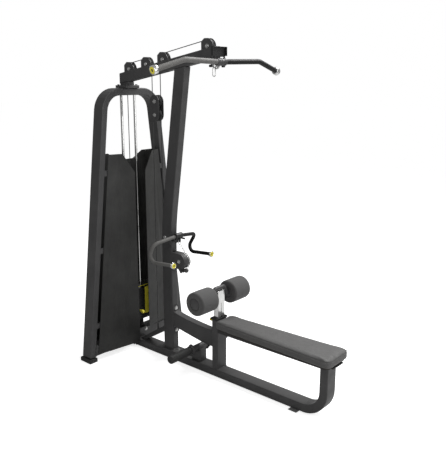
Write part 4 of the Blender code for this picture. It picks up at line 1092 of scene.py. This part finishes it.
def pad_cage():
    """The seat pad's rounded block, a little smaller than its CAD solid, to swell into it."""
    low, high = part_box("seat_pad")
    inset, corner = 0.003, 0.042
    outline = []
    for x, sx, y, sy, start in (
        (high.x, 1, high.y, 1, 0),
        (low.x, -1, high.y, 1, 90),
        (low.x, -1, low.y, -1, 180),
        (high.x, 1, low.y, -1, 270),
    ):
        for step in range(9):
            angle = math.radians(start + 90 * step / 8)
            across = x - sx * (inset + corner) + corner * math.cos(angle)
            narrow = 1 - PAD_TAPER * (high.x - across) / (high.x - low.x)
            outline.append((across, narrow * (y - sy * (inset + corner) + corner * math.sin(angle))))
    bm = bmesh.new()
    extrude_to(bm, [(x, y, low.z) for x, y in outline], 2, high.z - inset)
    bmesh.ops.recalc_face_normals(bm, faces=bm.faces)
    rims = [e for e in bm.edges if all(v.co.z > high.z - inset - 0.0001 for v in e.verts)]
    bmesh.ops.bevel(bm, geom=rims, offset=0.0075, segments=4, profile=0.5, affect="EDGES")
    return mesh_of(bm, "seat_cushion"), outline


def inflate(obj, cap, frames=20):
    """A cloth simulation under pressure, its foot pinned, each point moving at most cap."""
    rest = [vert.co.copy() for vert in obj.data.vertices]
    bottom = min(point.z for point in rest)
    pinned = [index for index, point in enumerate(rest) if point.z < bottom + 0.008]
    obj.vertex_groups.new(name="pinned").add(pinned, 1.0, "REPLACE")
    cloth = obj.modifiers.new("cloth", "CLOTH")
    settings = cloth.settings
    settings.quality = 4
    settings.use_pressure = True
    settings.uniform_pressure_force = 4.0
    settings.effector_weights.gravity = 0.0
    settings.vertex_group_mass = "pinned"
    settings.tension_stiffness = 40
    settings.compression_stiffness = 40
    settings.shear_stiffness = 20
    settings.bending_stiffness = 6
    scene = bpy.context.scene
    for number in range(1, frames + 1):
        scene.frame_set(number)
    graph = bpy.context.evaluated_depsgraph_get()
    moved = [vert.co.copy() for vert in obj.evaluated_get(graph).data.vertices]
    obj.modifiers.remove(cloth)
    scene.frame_set(1)
    for vert, before, after in zip(obj.data.vertices, rest, moved):
        step = after - before
        if step.length > cap:
            step *= cap / step.length
        vert.co = before + step
    obj.vertex_groups.clear()


def swell(obj, cap, voxel=0.006):
    """Voxel remesh, the simulation, smoothing and one level of subdivision."""
    bpy.context.view_layer.objects.active = obj
    remesh = obj.modifiers.new("remesh", "REMESH")
    remesh.mode = "VOXEL"
    remesh.voxel_size = voxel
    apply_modifiers(obj)
    inflate(obj, cap)
    smooth = obj.modifiers.new("smooth", "SMOOTH")
    smooth.factor = 0.5
    smooth.iterations = 4
    divide = obj.modifiers.new("divide", "SUBSURF")
    divide.levels = 1
    divide.render_levels = 1
    apply_modifiers(obj)


def apply_modifiers(obj):
    graph = bpy.context.evaluated_depsgraph_get()
    mesh = bpy.data.meshes.new_from_object(obj.evaluated_get(graph), depsgraph=graph)
    obj.modifiers.clear()
    obj.data = mesh


def build_seat():
    mesh, outline = pad_cage()
    build_board(outline)
    obj = add_object("seat_cushion", mesh)
    swell(obj, 0.005)
    mesh = obj.data
    bpy.data.objects.remove(obj)
    obj = mesh_piece("seat_cushion", mesh, "seat_vinyl", None, ("seat_pad",), 60)
    rough_skin(obj.data, 9.0, 0.0008, 3.0)
    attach(obj, "frame")
    build_welt(outline)


def build_welt(outline):
    """The cushion's piping, just outside its outline."""
    low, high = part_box("seat_pad")
    centre_x, end = (low.x + high.x) / 2, 0.435
    seam = [Vector((x, y, high.z - 0.015)) for x, y in outline]
    grown = []
    for before, after in zip(seam, seam[1:] + seam[:1]):
        steps = max(1, int((after - before).length / 0.03))
        for step in range(steps):
            point = before.lerp(after, step / steps)
            along = point.x - centre_x
            end_on = math.copysign(1, along) if abs(along) > end else 0
            out = Vector((end_on, math.copysign(1, point.y), 0)).normalized()
            grown.append(point + out * 0.0022)
    swept_piece("seat_welt", grown, 0.0013, 10, "seat_vinyl", "frame", (), 60, closed=True)


def build_hem():
    """The rear shroud's hem, which closes the gap beside the near leg at the bottom."""
    low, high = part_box("rear_shroud")
    bm = bmesh.new()
    hem_low, hem_high = (high.x - 0.003, low.y, 0.052), (high.x, low.y + 0.24, low.z + 0.004)
    rounded_box(bm, hem_low, hem_high, 0.0006, 1)
    piece("rear_shroud_hem", bm, "shroud_paint", "frame")


# ---------------------------------------------------------------- fasteners and welds


def add_screw_pair(bm, node, face_y):
    """A washer and a socket cap head over each end of a pulley's CAD axle bolt."""
    washer = [(0.0142, 0), (0.0142, 0.0012), (0.0136, 0.0017), (0.0104, 0.0017)]
    head = [(0.0104, 0.0066), (0.0098, 0.0078), (0.0086, 0.0082), (0.0058, 0.0082)]
    head += [(0.0054, 0.0078), (0.0052, 0.0072), (0, 0.0072)]
    centre = middle(node)
    for y, axis in ((face_y, "y"), (-face_y, "-y")):
        turn_into(bm, washer + head, turned_at((centre.x, y, centre.z), axis), 36)


def add_hex_bolt(bm, place, axis, across=0.0115):
    """A washer and a six-sided head with a chamfered top."""
    matrix = turned_at(place, axis)
    turn_into(bm, [(0.015, 0), (0.015, 0.0012), (0.0144, 0.0018), (0.008, 0.0018)], matrix, 36)
    turn_into(bm, [(across, 0.0016), (across, 0.0068), (across * 0.86, 0.0084), (0, 0.0084)], matrix, 6)


def build_bolts():
    bm = bmesh.new()
    for number in range(1, 5):
        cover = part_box(f"pulley_cover_{number}")
        add_screw_pair(bm, f"boom_pulley_{number}", cover[1].y - 0.006)
    add_screw_pair(bm, "transfer_pulley", 0.03)
    add_screw_pair(bm, "row_pulley", 0.03)
    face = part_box("seat_beam")[0].x + 0.008
    for z in (0.236, 0.414):
        add_hex_bolt(bm, (face, 0, z), "x")
    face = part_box("base_rail")[0].x + 0.008
    for y in (-0.061, 0.061):
        for z in (0.034, 0.112):
            add_hex_bolt(bm, (face, y, z), "x", 0.011)
    for x in (-0.578, -0.43):
        add_hex_bolt(bm, (x, 0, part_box("upright")[0].z + 0.008), "z")
    piece("frame_bolts", bm, "bright_steel", "frame", (), 30)
    bm = bmesh.new()
    add_screw_pair(bm, "block_pulley_upper", 0.024)
    add_screw_pair(bm, "block_pulley_lower", 0.024)
    piece("block_bolts", bm, "bright_steel", "block", (), 30)


def weld(bm, corners, width=0.003, closed=True):
    """A rippled bead along a path of corners."""
    corners = [Vector(corner) for corner in corners]
    ends = corners[1:] + (corners[:1] if closed else [])
    points = []
    for before, after in zip(corners, ends):
        steps = max(2, int((after - before).length / 0.0022))
        points += [before.lerp(after, step / steps) for step in range(steps)]
    if not closed:
        points.append(corners[-1])
    radii = []
    for index, point in enumerate(points):
        ripple = 0.16 * math.sin(index * 1.9) + 0.18 * noise.noise(point * 70.0)
        radii.append(width * (1 + ripple))
    sweep(bm, points, radii, 8, closed)


def rectangle(axis, at, low, high):
    """Corners of a rectangle across an axis, at a height along it."""
    (a0, b0), (a1, b1) = low, high
    flat = [(a0, b0), (a1, b0), (a1, b1), (a0, b1)]
    if axis == "z":
        return [(a, b, at) for a, b in flat]
    return [(at, a, b) for a, b in flat]


def build_welds():
    bm = bmesh.new()
    low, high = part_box("front_post")
    weld(bm, rectangle("z", low.z + 0.0006, (low.x, low.y), (high.x, high.y)))
    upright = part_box("upright")[0].z + 0.0085
    weld(bm, rectangle("z", upright, (-0.554, -0.03), (-0.454, 0.03)))
    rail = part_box("base_rail")[0].x + 0.0085
    weld(bm, rectangle("x", rail, (-0.05, 0.0065), (0.05, 0.066)))
    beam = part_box("seat_beam")
    weld(bm, rectangle("x", beam[0].x + 0.0085, (-0.03, 0.274), (0.03, 0.394)))
    weld(bm, rectangle("x", beam[1].x, (-0.03, 0.2225), (0.03, 0.3445)))
    low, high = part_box("base_cross_tube")
    for edge in (0.0005 - high.y, high.y - 0.0005):
        ends = ((low.x, low.z), (high.x, low.z), (high.x, high.z), (low.x, high.z))
        weld(bm, [(x, edge, z) for x, z in ends], 0.0026)
    piece("weld_beads", bm, "frame_paint", "frame", (), 80)


build_camera()
build_stage()
dress_cad_nodes()

build_lat_bar()
build_row_handle()
build_pulleys()
build_lat_cable()
build_row_cable()
build_lat_clip()
build_row_clip()
build_stack()
build_selector_pin()
build_pop_pin()
build_roller("thigh_roller_near", 1.0)
build_roller("thigh_roller_far", 2.0)
build_yoke()
build_foot_sleeve("foot_sleeve_near")
build_foot_sleeve("foot_sleeve_far")
build_seat()
build_hem()
build_bolts()
build_welds()
